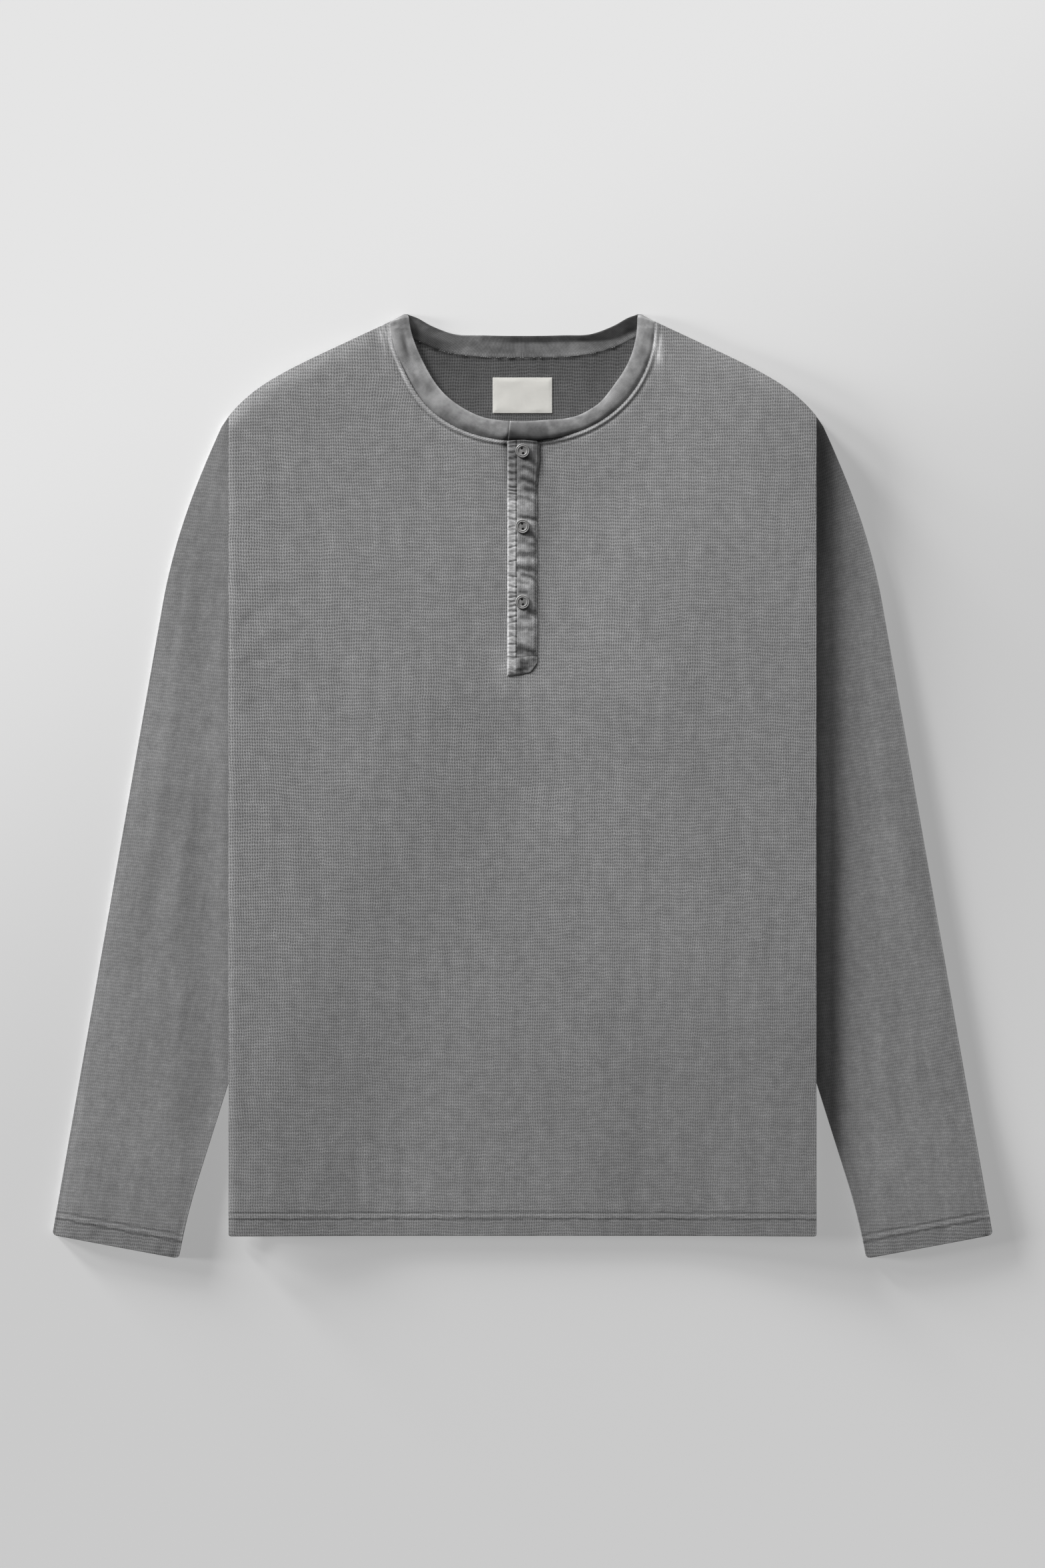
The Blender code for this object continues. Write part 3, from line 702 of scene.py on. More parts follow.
def creased(x, y, creases):
    total = 0.0
    for middleX, middleY, turn, halfLong, halfWide, rise in creases:
        turn = math.radians(turn)
        dx = x - middleX * mm
        dy = y - middleY * mm
        along = (dx * math.cos(turn) + dy * math.sin(turn)) / (halfLong * mm)
        if abs(along) >= 1.0:
            continue
        across = (dy * math.cos(turn) - dx * math.sin(turn)) / (halfWide * mm)
        across += 0.35 * along * along  # a slight bow
        if abs(across) < 3.0:
            total += rise * mm * math.exp(-across * across) * (1.0 - along * along) ** 2
    return total


def bodyColumns(edgeX, step):
    inner = spread([(0.0, 2.3 * mm), (body["slotHalf"], 0.9 * mm), (17.6 * mm, step), (80 * mm, 1.7 * mm),
                    (92 * mm, 0.9 * mm), (98 * mm, 0.45 * mm), (101 * mm, 0.2 * mm),
                    (body["neckHalf"], 0.7 * mm), (111 * mm, step), (edgeX - 13 * mm, 2 * mm),
                    (edgeX - 5 * mm, 1.1 * mm), (edgeX - 1.2 * mm, 0.3 * mm), (edgeX - 0.3 * mm, 0.1 * mm),
                    (edgeX, 1.0)])
    return [-x for x in reversed(inner[1:])] + inner


def roundedCorner(x, rise):
    # pulls the outer columns in where the hem meets the side
    zone = 12 * mm
    start = body["half"] - zone
    if abs(x) < start:
        return x
    pull = body["cornerRadius"] * (1.0 - quarterRound(rise / body["cornerRadius"]))
    return math.copysign(start + (abs(x) - start) * (zone - pull) / zone, x)


def bodyRows(step):
    hem = spread([(0.0, 0.3 * mm), (0.9 * mm, 1.1 * mm), (10.5 * mm, 0.55 * mm), (21.0 * mm, 1.5 * mm),
                  (24.0 * mm, step), (body["rowsTop"] - body["hemY"], 1.0)])
    return [body["hemY"] + rise for rise in hem]


def panelPiece(neckLine, edgeInset, step, describe):
    # level rows from the hem, then rows that bend to follow the shoulder and the neck
    columns = bodyColumns(body["half"] - edgeInset, step)
    levels = bodyRows(step)
    deepest = body["frontNeckY"] - body["rowsTop"]
    insets = spread([(deepest, step), (7 * mm, 0.55 * mm), (0.8 * mm, 0.25 * mm), (0.0, 1.0)])[1:]

    def place(column, row):
        x = columns[column]
        inset = mix(edgeInset, body["gap"], collarHeld(x))
        top = neckLine(x) if abs(x) <= body["neckHalf"] else shoulderY(x) - inset
        if row < len(levels):
            y = levels[row]
        else:
            depth = insets[row - len(levels)]
            slack = (top - body["rowsTop"]) / deepest - 1.0
            y = top - depth * (1.0 + slack * depth / deepest)
        point, uv, marks = describe(x, y, top)
        return (roundedCorner(point[0], y - body["hemY"]), *point[1:]), uv, marks

    return mappedGrid(len(columns), len(levels) + len(insets), place)


def makeNeckSeam():
    # points close together along the front neck seam, with the length run from the middle to each
    half = 600
    tree = kdtree.KDTree(2 * half + 1)
    runs = [0.0]
    last = None
    for index in range(2 * half + 1):
        x = body["neckHalf"] * math.sin(math.radians(90 * (index / half - 1)))
        here = Vector((x, frontNeckY(x), 0.0))
        if last is not None:
            runs.append(runs[-1] + (here - last).length)
        tree.insert(here, index)
        last = here
    tree.balance()
    return tree, [run - runs[half] for run in runs]


neckTree, neckRuns = makeNeckSeam()


def neckDrawn(x, y, free):
    # the opening is drawn in at the left, and its free edge hangs lower at the right
    if x > 0:
        return x, y - 3.9 * mm * free * ramp(x, 12, 48) * ramp(x, 75, 57)
    pull = mix(3.4 * mm * hump(y, 317, 28), 5.2 * mm * hump(y, 324, 30), free)
    return x + pull * ramp(-x, 5, 40), y - 0.9 * mm * free * hump(x, -32, 14)


def neckSeam(x, y):
    # distance from the front neck seam, and how far along it
    _, index, distance = neckTree.find((x, y, 0.0))
    return distance, neckRuns[index]


def hemRelief(rise, x):
    # furrows at the two stitch lines, and slanted ropy rolls below them
    low, high = waffle["hemLines"]
    wander = 0.5 * mm * wobble(x / (22 * mm), 3.3, 1.1)
    relief = -0.11 * mm * bell(rise - low + wander, 1.1 * mm)
    relief -= 0.12 * mm * bell(rise - high + wander, 1.0 * mm)
    roll = wobble((x + 0.7 * rise) / (8 * mm), rise / (30 * mm), 7.7)
    return relief + 0.18 * mm * roll * ramp(rise, 0, 3) * ramp(low - rise, 0, 3)


def edgeWall(distance, radius, thinnest):
    # share of the wall's thickness near a rounded edge
    return mix(thinnest, 1.0, quarterRound(distance / radius))


def clothPoint(x, y):
    # the knit is wider at the left of the panel and closer at its lower right
    return x * (1.05 + 0.12 * x) * (1.0 - 0.08 * y), y * (1.03 - 0.05 * y)


def bodyDrawn(x, y):
    # how strongly the knit stands out: most at the upper left, least at the lower right
    upper = ramp(y, -320, 10)
    left = ramp(-x, 90, 200)
    return mix(0.79, 1.03, upper) - 0.06 * ramp(x, 40, 220) + 0.08 * left


def darker(*shares):
    # several washes laid over each other
    left = 1.0
    for share in shares:
        left *= 1.0 - min(max(share, 0.0), 0.9)
    return 1.0 - left


def waffleMarks(hemRise, wall, wear, shade, drawn, seam=1.0, run=0.0, rope=0.0, **more):
    # what the knit and the wall read at a point; a piece away from the neck seam has none of its marks
    # the lightening mark carries real wear together with painted light, and shade carries painted shade with
    # some random tone
    return {"hemRise": hemRise, "seamGap": seam, "seamRun": run, "rope": rope, "wall": wall, "wear": wear,
            "shade": shade, "drawn": drawn, **more}


def frontPoint(x, y, top):
    hemRise = y - body["hemY"]
    side = body["half"] - abs(x)
    seam, run = neckSeam(x, y)
    calm = ramp(side, 0, 14) * ramp(hemRise, 0, 24) * ramp(seam, 0, 14)
    calm *= ramp(abs(x), 12, 20) if y > 80 * mm else 1.0
    rise = calm * (creased(x, y, frontCreases) + 0.07 * mm * wobble(x / (60 * mm), y / (60 * mm), 3.1))
    fan = wobble(x / (11 * mm), y / (90 * mm), 5.5)
    rise += calm * 0.10 * mm * fan * ramp(y, -150, -270)
    rope = 1.0 - (0.75 if x < 0 else 0.4) * ramp(y, 333, 353)
    rise += rope * (0.34 * mm * hump(seam, 1.9, 1.1) - 0.28 * mm * hump(seam, 4.2, 1.2))
    rise += hemRelief(hemRise, x)
    wall = bodyWall(y) / body["turned"] * edgeWall(hemRise, 0.6 * mm, 0.7) * edgeWall(side, 1.2 * mm, 0.4)
    if abs(x) > body["neckHalf"] or seam < 1.0 * mm:
        wall *= edgeWall(top - y, 1.2 * mm, 0.35)
    broken = 0.8 + 0.8 * wobble(seam / (1.6 * mm), run / (7 * mm), 2.2)
    # painted light: a pale glow round the strip's foot
    footGlow = 0.35 * bell(math.hypot((x + 15 * mm) / 0.8, (y - 95 * mm) / 2.4), 9 * mm)
    footGlow += 0.20 * bell(math.hypot(x / 1.6, y - 81 * mm), 7 * mm)
    # painted shade beside the strip
    beside = ramp(y, 90, 110) * ramp(y, 270, 250)
    # painted shade along the lit left edge, and painted light along the shaded right edge
    edgeShade = 0.45 * bell(side, 0.5 * mm) * (0.7 + 0.6 * wobble(y / (24 * mm), 0.2, 1.9)) if x < 0 else 0.0
    edgeGlow = 0.22 * bell(side, 0.6 * mm) if x > 0 else 0.0
    # painted shade in the creases where the strip's upper corners are sewn in, and painted shadow lines
    # beside its two edges
    cornerGap = math.hypot((x + 13.9 * mm) / 1.8, (y - 263.9 * mm) / 1.7)
    notch = 0.5 * hump(x, 14.6, 1.8) * ramp(y, 228, 250) + 0.72 * bell(cornerGap, 1.7 * mm)
    notch += 0.34 * hump(x, -12.9, 1.2) * ramp(y, 226, 250)
    # painted shade over the lower right
    lowRight = ramp(x, 0, 120) * ramp(y, -100, -210)
    # lighter: abraded scuffs, with painted light round the foot, along the right edge and over the left of
    # the panel; darker: painted shade in the pulls, along the left edge, beside and at the corners of the
    # strip, over the right, the lower right, the bottom and the shoulders
    # crisp keeps the grid lines sharp where the side and the hem turn down
    marks = waffleMarks(
        hemRise, wall, seam=seam, run=run, rope=rope, drawn=bodyDrawn(x, y),
        wear=(creased(x, y, scuffs) / mm * broken + footGlow + edgeGlow + 0.05 * ramp(-x, 60, 210)
              + 0.13 * hump(x, -125, 62)),
        shade=darker(creased(x, y, pullShades) / mm, edgeShade, 0.10 * beside * hump(abs(x), 14, 5), notch,
                     0.05 * ramp(x, 60, 210), 0.07 * hump(x, 125, 62), 0.08 * lowRight,
                     0.04 * ramp(y, -150, -270), 0.045 * ramp(y, 190, 260)),
        crisp=float(abs(side - 0.35 * mm) < 0.01 * mm or abs(hemRise - 0.3 * mm) < 0.01 * mm))
    # the sides and shoulders end in a tight fold down to the back panel
    low = backUnder(x, y) + bodyWall(y) + body["gap"] + 0.3 * mm
    drop = max(shoulderY(x) - y, 0.0) if abs(x) > body["neckHalf"] else body["fold"]
    fold = quarterRound(min(side, drop) / body["fold"])
    # at the left the edge also slopes gently for a few millimetres
    sag = 0.6 * mm * (1.0 - min(side / (5 * mm), 1.0)) ** 1.5 if x < 0 else 0.0
    rounding = 0.5 * mm * (1.0 - quarterRound(hemRise / (0.3 * mm)))
    z = mix(low, frontTop(x, y) - sag, fold) + rise * fold - rounding
    held = bell(seam, 40 * mm) * (ramp(top - y, 0, 8) if abs(x) > body["neckHalf"] else 1.0)
    return (mix(x, neckDrawn(x, y, 0.0)[0], held), y, z), clothPoint(x, y), marks


def makeFront():
    grid = panelPiece(frontNeckY, 0.05 * mm, 3.4 * mm, frontPoint)
    slot = [face for face in grid.faces if abs(face.calc_center_median().x) < body["slotHalf"]
            and face.calc_center_median().y > body["slotShownY"]]
    bmesh.ops.delete(grid, geom=slot, context="FACES")
    piece = addPiece("front_panel", grid, [waffleOuter, waffleInner], ["front"])
    addWall(piece, body["turned"], -1.0)


def backPoint(x, y, top):
    hemRise = y - body["hemY"]
    side = body["half"] - body["gap"] - abs(x)
    calm = ramp(side, 0, 20) * ramp(hemRise, 0, 26) * ramp(y, 215, 185)
    low, high = waffle["hemLines"]
    furrow = 0.25 * mm * bell(hemRise - low, 0.8 * mm) + 0.2 * mm * bell(hemRise - high, 0.8 * mm)
    z = backUnder(x, y) + bodyWall(y) + calm * creased(x, y, backCreases) - furrow
    wall = (bodyWall(y) - 1.8 * furrow) / body["turned"]
    wall *= edgeWall(hemRise, 1.0 * mm, 0.35) * edgeWall(side, 0.8 * mm, 0.45)
    # painted shade on the inside: a ragged dark line under the band, a broad shade below it towards the front
    # neck, and darker towards the left
    neck = max(backNeckY(x) - y, 0.0)
    ragged = 0.7 + 0.8 * wobble(x / (4 * mm), 0.5, 6.6)
    shade = 0.70 * hump(neck, 1, 2.1) * ragged + 0.16 * hump(neck, 9, 7) + 0.12 * ramp(-x, 0, 70)
    return (x, y, z), clothPoint(x, y), waffleMarks(hemRise, wall, 0.0, shade, 1.0)


def makeBack():
    grid = panelPiece(backNeckY, body["gap"], 4.6 * mm, backPoint)
    piece = addPiece("back_panel", grid, [waffleInner, waffleOuter], ["back"])
    addWall(piece, body["turned"], -1.0)


# sleeves: flattened tubes with a closed head hidden under the body

sleeve = {
    "slant": 0.17507,
    "cuffOuter": (362.8 * mm, -345.5 * mm),
    "cuffInner": (265.1 * mm, -363.7 * mm),
    "armCurveY": 140.0 * mm,
    "tipBulge": 2.2 * mm,
    "headOuter": (220.4 * mm, 287.3 * mm),
    "headInner": (128.5 * mm, 66.9 * mm),
    "headRadius": 3.0 * mm,
    "edgeRadius": 1.9 * mm,
    "cuffEdgeRadius": 2.8 * mm,
    "cuffSwellRun": 120.0 * mm,
    "puff": 1.2 * mm,
    "puffStart": 12.0 * mm,
    "puffRun": 30.0 * mm,
    "flatPoints": 46,
    # the folded edge, from its middle up to the flat: offset and height in radii
    "edge": ((0.0, 0.0), (0.01, 0.45), (0.035, 0.8), (0.08, 0.96), (0.12, 1.0), (0.5, 1.0), (1.0, 1.0)),
    "step": 2.9 * mm,
    "cornerRadius": 3.2 * mm,
}
sleeveCreases = (
    (262, 120, 100, 90, 7, 0.27),
    (278, 10, 97, 100, 9, 0.27),
    (262, -70, 96, 80, 6, 0.23),
    (300, -110, 102, 90, 8, 0.23),
    (284, -200, 92, 80, 7, 0.23),
    (322, -240, 100, 70, 8, 0.23),
    (290, -290, 60, 40, 6, 0.18),
)


def sleeveOuter(y):
    straight = sleeve["cuffOuter"][0] - (y - sleeve["cuffOuter"][1]) * sleeve["slant"]
    tip = body["shoulderTip"]
    full = sleeve["cuffOuter"][0] - (tip[1] - sleeve["cuffOuter"][1]) * sleeve["slant"] - tip[0]
    rise = max(y - sleeve["armCurveY"], 0.0) / (tip[1] - sleeve["armCurveY"])
    below = max(tip[1] - y, 0.0)
    bulge = sleeve["tipBulge"] * (1.0 - math.exp(-below / (3 * mm))) * math.exp(-below / (24 * mm))
    return straight - full * rise**2 + bulge


def sleeveInner(y):
    underarm = body["underarm"]
    forearm = body["forearmInner"]
    slant = (forearm[0] - underarm[0]) / (underarm[1] - forearm[1])
    straight = underarm[0] + (underarm[1] - y) * slant
    full = underarm[0] + (underarm[1] - sleeve["cuffInner"][1]) * slant - sleeve["cuffInner"][0]
    bend = max(forearm[1] - y, 0.0) / (forearm[1] - sleeve["cuffInner"][1])
    return straight - full * bend**2


def sleeveStations():
    # from the closed head to the cuff: outer point, inner point, roundness, distance from the cuff edge
    stations = []
    headOuter = sleeve["headOuter"]
    headInner = sleeve["headInner"]
    head = math.dist(headOuter, headInner)
    intoX = (headOuter[1] - headInner[1]) / head
    intoY = (headInner[0] - headOuter[0]) / head
    for share in (0.0, 0.06, 0.15, 0.3, 0.5, 0.75, 1.0):
        inset = sleeve["headRadius"] * share
        outer = (headOuter[0] + intoX * inset, headOuter[1] + intoY * inset)
        inner = (headInner[0] + intoX * inset, headInner[1] + intoY * inset)
        full = quarterRound(share)
        pull = sleeve["headRadius"] * (1.0 - full) / head
        stations.append((mixPoints(outer, inner, pull), mixPoints(inner, outer, pull), full, 0.4))
    longest = body["underarm"][1] - sleeve["cuffInner"][1] - 6 * mm
    stretch = (body["shoulderTip"][1] - 0.6 * mm - sleeve["cuffOuter"][1]) / longest - 1.0
    lefts = spread([(longest, sleeve["step"]), (24 * mm, 1.2 * mm), (20 * mm, 0.6 * mm), (10 * mm, 1.0 * mm),
                    (3.2 * mm, 0.5 * mm), (0.8 * mm, 0.25 * mm), (0.0, 1.0)])
    for left in lefts:
        outerY = sleeve["cuffOuter"][1] + left * (1.0 + stretch * (left / longest) ** 2)
        innerY = sleeve["cuffInner"][1] + left
        corner = sleeve["cornerRadius"] * (1.0 - quarterRound(left / sleeve["cornerRadius"]))
        outer = (sleeveOuter(outerY), outerY)
        inner = (sleeveInner(innerY), innerY)
        pull = corner / math.dist(outer, inner)
        stations.append((mixPoints(outer, inner, pull), mixPoints(inner, outer, pull), 1.0, left))
    return stations


def sleeveRing(outer, inner, rounding, left):
    swell = softStep((sleeve["cuffOuter"][1] + sleeve["cuffSwellRun"] - outer[1]) / sleeve["cuffSwellRun"])
    radius = mix(sleeve["edgeRadius"], sleeve["cuffEdgeRadius"], swell)
    width = math.dist(outer, inner)
    arc = [(radius * offset, radius * (1 - height)) for offset, height in reversed(sleeve["edge"])]
    arc += [(radius * offset, radius * (1 + height)) for offset, height in sleeve["edge"][1:]]
    shares = [(index + 1) / (sleeve["flatPoints"] + 1) for index in range(sleeve["flatPoints"])]
    ring = [(offset, height, 0.0) for offset, height in reversed(arc)]
    ring += [(mix(radius, width - radius, share), 0.0, 0.0) for share in shares]
    ring += [(width - offset, height, 0.0) for offset, height in arc]
    ring += [(mix(radius, width - radius, share), 2 * radius, share) for share in reversed(shares)]
    crisp = [offset for offset, height in sleeve["edge"] if height == 1.0][0] * radius
    points = []
    for offset, height, share in ring:
        x, y = mixPoints(inner, outer, offset / width)
        if share:
            shown = ramp(x - body["half"], 3, 17)
            puff = softStep((x - body["half"] - sleeve["puffStart"]) / sleeve["puffRun"])
            height += sleeve["puff"] * puff * math.sqrt(math.sin(math.pi * share))
            calm = shown * ramp(width * min(share, 1.0 - share), 0, 9) * ramp(left, 0, 26)
            slack = 0.25 * mm * wobble(x / (40 * mm), y / (40 * mm), 5.2)
            height += calm * max(creased(x, y, sleeveCreases) + slack, -0.1 * mm)
            height += hemRelief(left, width * share)
        sharp = abs(min(offset, width - offset) - crisp) < 0.001 * mm
        points.append((x, y, radius + (height - radius) * rounding, float(sharp)))
    return points


def makeSleeve(name, side, replaced):
    stations = sleeveStations()
    rings = [sleeveRing(*station) for station in stations]
    count = len(rings[0])

    def place(column, row):
        x, y, z, crisp = rings[row][column % count]
        left = stations[row][3]
        inward = abs(x) - body["half"]
        wall = mix(body["wall"], body["turned"], ramp(left, 18, 15)) / body["turned"]
        wall *= mix(0.35, 1.0, quarterRound(left / (0.9 * mm)))
        edge = min(math.dist((x, y), stations[row][0]), math.dist((x, y), stations[row][1]))
        # painted shade: the sleeve on the right lies in a painted shadow of the body, deepest at the shoulder
        shaded = 0.17 * (1.0 - ramp(inward, 30, 48)) + 0.14 * hump(inward, 18, 7)
        shaded += 0.16 * hump(inward, 15, 5) * ramp(y, 20, -60)
        high = 0.52 * ramp(y, 110, 220) * hump(inward, 5, 6.5)
        # painted light: a light line on the right sleeve beside the body, and the lower left sleeve painted
        # paler
        lift = 0.14 * ramp(y, 190, 40) if side < 0 else 0.7 * bell(inward, 2.0 * mm)
        # painted shade beside the body on the left sleeve, and both sleeves darker towards the cuff
        shades = (shaded, high) if side > 0 else (0.05 * bell(inward, 4 * mm),)
        shade = darker(0.03 + 0.07 * ramp(left, 90, 10), *shades)
        # lighter along the folded edges, with the painted light above
        wear = 0.10 * bell(edge, 2.5 * mm) + lift
        marks = waffleMarks(left, wall, wear, shade, 1.0 + 0.8 * ramp(left, 30, 8), crisp=crisp)
        flatX = side * x
        # the knit is finer across than the body's; its ribs lean with the arm and its rows rise outwards
        climb = -0.08
        if side > 0:
            climb = 0.15 + 0.3 * ramp(y, 110, 240) - 0.13 * ramp(y, -220, -290)
        grain = (1.24 * (flatX + side * 0.15 * y), 0.966 * (y - climb * (flatX - side * 300 * mm)))
        return (flatX, y, z), grain, marks

    grid = mappedGrid(count + 1, len(rings), place)
    bmesh.ops.remove_doubles(grid, verts=grid.verts, dist=0.001 * mm)
    if side < 0:
        bmesh.ops.reverse_faces(grid, faces=grid.faces)
    piece = addPiece(name, grid, [waffleSleeve, waffleInner], [replaced])
    addWall(piece, body["turned"], -1.0)


# neckband: one strip folded double, from the lower end round the neck to the upper end

band = {
    "wall": 2.0 * mm,
    "peak": (88.6 * mm, 361.6 * mm),
    "frontY": 281.7 * mm,
    "backY": 347.9 * mm,
    "backPeakY": 364.0 * mm,
    "backPower": 3.05,
    "foldTop": 4.8 * mm,
    "inset": -0.1 * mm,
    "crown": 1.0 * mm,
    "seamDip": 0.5 * mm,
    "shown": 1.5 * mm,  # thickness seen, less than the two layers with air between them
    "overEnd": 11.2 * mm,
    "underEnd": 9.5 * mm,
    "rise": (42.0 * mm, 17.0 * mm),
    "steps": 130,
    "foldSteps": 12,
}


def scoopPoint(share, half, topY, footY):
    power = body["scoopPower"]
    rest = (1.0 - min(abs(share), 1.0) ** power) ** (1.0 / power)
    return share * half, topY - (topY - footY) * rest


def bandHeight(x, over):
    level = body["wall"] + body["frontLoft"] + band["shown"]
    start, stop = band["rise"]
    climb = softStep((start - x) / (start - stop)) if over else 0.0
    fall = softStep((abs(x) - body["neckHalf"] / 2) / (body["neckHalf"] / 2))
    return level + (band["shown"] + body["gap"]) * climb + (band["foldTop"] - level) * fall


def frontBandStation(share, over):
    seamHalf = body["neckHalf"] - band["inset"]
    seam = scoopPoint(share, seamHalf, body["neckY"], body["frontNeckY"])
    free = scoopPoint(share, band["peak"][0], band["peak"][1], band["frontY"])
    height = bandHeight(share * seamHalf, over)
    return (*seam, height), (*free, height)


def backBandStation(share):
    seamX = share * (body["neckHalf"] - band["inset"])
    lift = abs(share) ** body["backNeckPower"]
    seam = (seamX, body["backNeckY"] + (body["neckY"] - body["backNeckY"]) * lift, 0.0)
    freeY = band["backY"] + (band["backPeakY"] - band["backY"]) * abs(share) ** band["backPower"]
    return seam, (share * band["peak"][0], freeY, 0.0)


def foldStation(side, angle):
    # half a turn over the shoulder line, from the front face (90) to the back one (-90)
    radius = band["foldTop"] / 2
    turn = math.radians(angle)
    height = radius * (1 + math.sin(turn))
    seam = (side * (body["neckHalf"] - band["inset"]), body["neckY"] + 0.36 * mm * math.cos(turn), height)
    level = mix(band["backPeakY"], band["peak"][1], (1 + math.sin(turn)) / 2)
    free = (side * (band["peak"][0] + 0.4 * mm * math.cos(turn)), level + 1.5 * mm * math.cos(turn), height)
    return seam, free


def bandStations():
    # a sine spacing keeps the points close where the scoop is steep
    shares = [math.sin(math.pi / 2 * index / band["steps"]) for index in range(band["steps"] + 1)]
    folds = [90 - 180 * (index + 1) / (band["foldSteps"] + 1) for index in range(band["foldSteps"])]
    underEnd = band["underEnd"] / body["neckHalf"]
    overEnd = band["overEnd"] / body["neckHalf"]
    underShares = (1.0, 0.99, 0.96, 0.9, 0.75, 0.5, 0.25)
    overShares = (0.2, 0.4, 0.6, 0.75, 0.9, 0.96, 0.985, 1.0)
    stations = [frontBandStation(underEnd * share, False) for share in underShares]
    besideEnd = [(band["overEnd"] + index * 0.4 * mm) / body["neckHalf"] for index in range(-4, 14)]
    stations += [frontBandStation(-share, False) for share in sorted(shares + besideEnd)]
    stations += [foldStation(-1, angle) for angle in folds]
    stations += [backBandStation(-share) for share in reversed(shares)]
    stations += [backBandStation(share) for share in shares[1:]]
    stations += [foldStation(1, -angle) for angle in folds]
    stations += [frontBandStation(share, True) for share in reversed(shares)]
    stations += [frontBandStation(-overEnd * share, True) for share in overShares]
    return stations


def seamArch(x):
    # the seam bows up a little over the placket
    return 0.8 * mm * hump(x, -1, 7.5)


def makeNeckband():
    stations = bandStations()
    across = spread([(0.0, 0.02), (0.06, 0.07), (0.86, 0.035), (0.965, 0.0175), (1.0, 1.0)])
    runs = [0.0]
    for before, after in zip(stations, stations[1:]):
        runs.append(runs[-1] + math.dist(mixPoints(*before, 0.5), mixPoints(*after, 0.5)))

    def place(column, row):
        share = across[column]
        seam, free = stations[row]
        run = runs[row]
        x, y, z = mixPoints(seam, free, share)
        width = math.dist(seam, free)
        fromSeam = share * width
        fromFree = (1.0 - share) * width
        onTop = softStep(z / band["foldTop"])
        upper = ramp(y, 318, 336)
        front = onTop if y < 355 * mm else onTop * 0.6
        ripple = wobble(run / (17 * mm), share * 1.2, 2.0)
        arch = math.sin(math.pi * min(share * 0.93, 1.0) ** 0.85) ** 0.8
        crown = band["crown"] * arch * (1.0 + 0.25 * ripple)
        patchy = softStep((wobble(run / (34 * mm), 0, 9) + 0.15) / 0.4)
        left = 1.0 if x < 0 else 0.15
        groove = 0.44 + 0.11 * (y - 330 * mm) / (20 * mm)
        dent = (0.5 * mm * patchy + 0.6 * mm * hump(y, 337, 17)) * left * bell(share - groove, 0.16)
        folded = math.sqrt(max(0.0, 1.0 - (2.0 * z / band["foldTop"] - 1.0) ** 2)) if y > 350 * mm else 0.0
        z += (crown - dent - band["seamDip"] * (1.0 - softStep(share / 0.22))) * front
        # the fold is fullest before its peak, which is rounded
        bulge = 1.4 * mm * share * softStep((1.0 - share) / 0.25)
        y += folded * (bulge - 0.4 * mm * softStep((share - 0.85) / 0.15))
        # at the shoulders and the back the seam laps over the edge of the panel
        lap = (1.0 - softStep(share / 0.35)) * (1.0 - folded)
        x += math.copysign(0.6 * mm * upper * lap, x)
        y -= 0.6 * mm * (1.0 - share) * ramp(y, 352, 356)
        z += (0.95 if x < 0 else 0.5) * mm * upper * onTop * lap
        y -= (1.0 - onTop) * lap * (0.8 + 0.5 * wobble(run / (5 * mm), 0, 4)) * mm
        wall = edgeWall(fromFree, 1.1 * mm, 0.4) * edgeWall(fromSeam, 0.8 * mm, 0.45)
        wall *= band["shown"] / band["wall"]
        wall *= edgeWall(min(run, runs[-1] - run), 0.6 * mm, 0.5)
        mottle = wobble(run / (15 * mm), share * 1.6, 11.0)
        # painted light along the free edge
        freeGlow = 0.45 * hump(fromFree, 0.6, 0.8) * (1.0 - 0.8 * ramp(y, 353, 358))
        # the upper end lies on the lower one: a painted lit edge, and painted shade on the cloth beside it
        overX = x + band["overEnd"] * (1.0 - 0.131 * share)
        end = softStep((runs[-1] - 30 * mm - run) / mm + 1.0)
        z -= 0.4 * mm * (1.0 - end) * (1.0 - quarterRound(overX / (0.6 * mm)))
        y += seamArch(x) * (1.0 - share) * (1.0 - end)
        freeEdge = 0.8 * hump(fromFree, 0.4, 0.5) * ramp(abs(x), 24, 18)
        endGlow = (1.0 - end) * (0.8 * hump(overX, 0.3, 0.55) + freeEdge)
        broad = 0.8 * hump(overX, -1.6, 2.6) * softStep((0.5 - share) / 0.5)
        endShade = end * (0.55 * hump(overX, -0.4, 1.1) + broad) * onTop
        # darker where the two ends overlap
        overlap = ramp(run - (runs[-1] - 32 * mm), 0, 4)
        # painted shade inside the back: on the fold at the right and by the seam at the left
        deep = (5.6 + 6.0 * ramp(x, 42, 78)) * mm
        topShade = 0.60 * softStep((deep - fromFree) / (3 * mm) + 0.5) * ramp(x, -42, 0)
        lowShade = ramp(-x, 46, 66) * (0.28 + 0.24 * ramp(fromFree, 6, 11))
        lowShade += 0.25 * ramp(-x, 0, 30) * hump(fromFree, 0.4, 1.4)
        # painted shade low on the front of the band and along its seam
        foot = bell(x, 66 * mm) * onTop * ramp(y, 360, 340)
        inBack = 1.0 - onTop
        # lighter: painted light on the free edge and the upper end, random pale patches, and the left front a
        # little lighter
        wear = freeGlow + endGlow + (0.36 if x < 0 else 0.22) * max(mottle, 0.0)
        wear += 0.10 * onTop * ramp(-x, 0, 20)
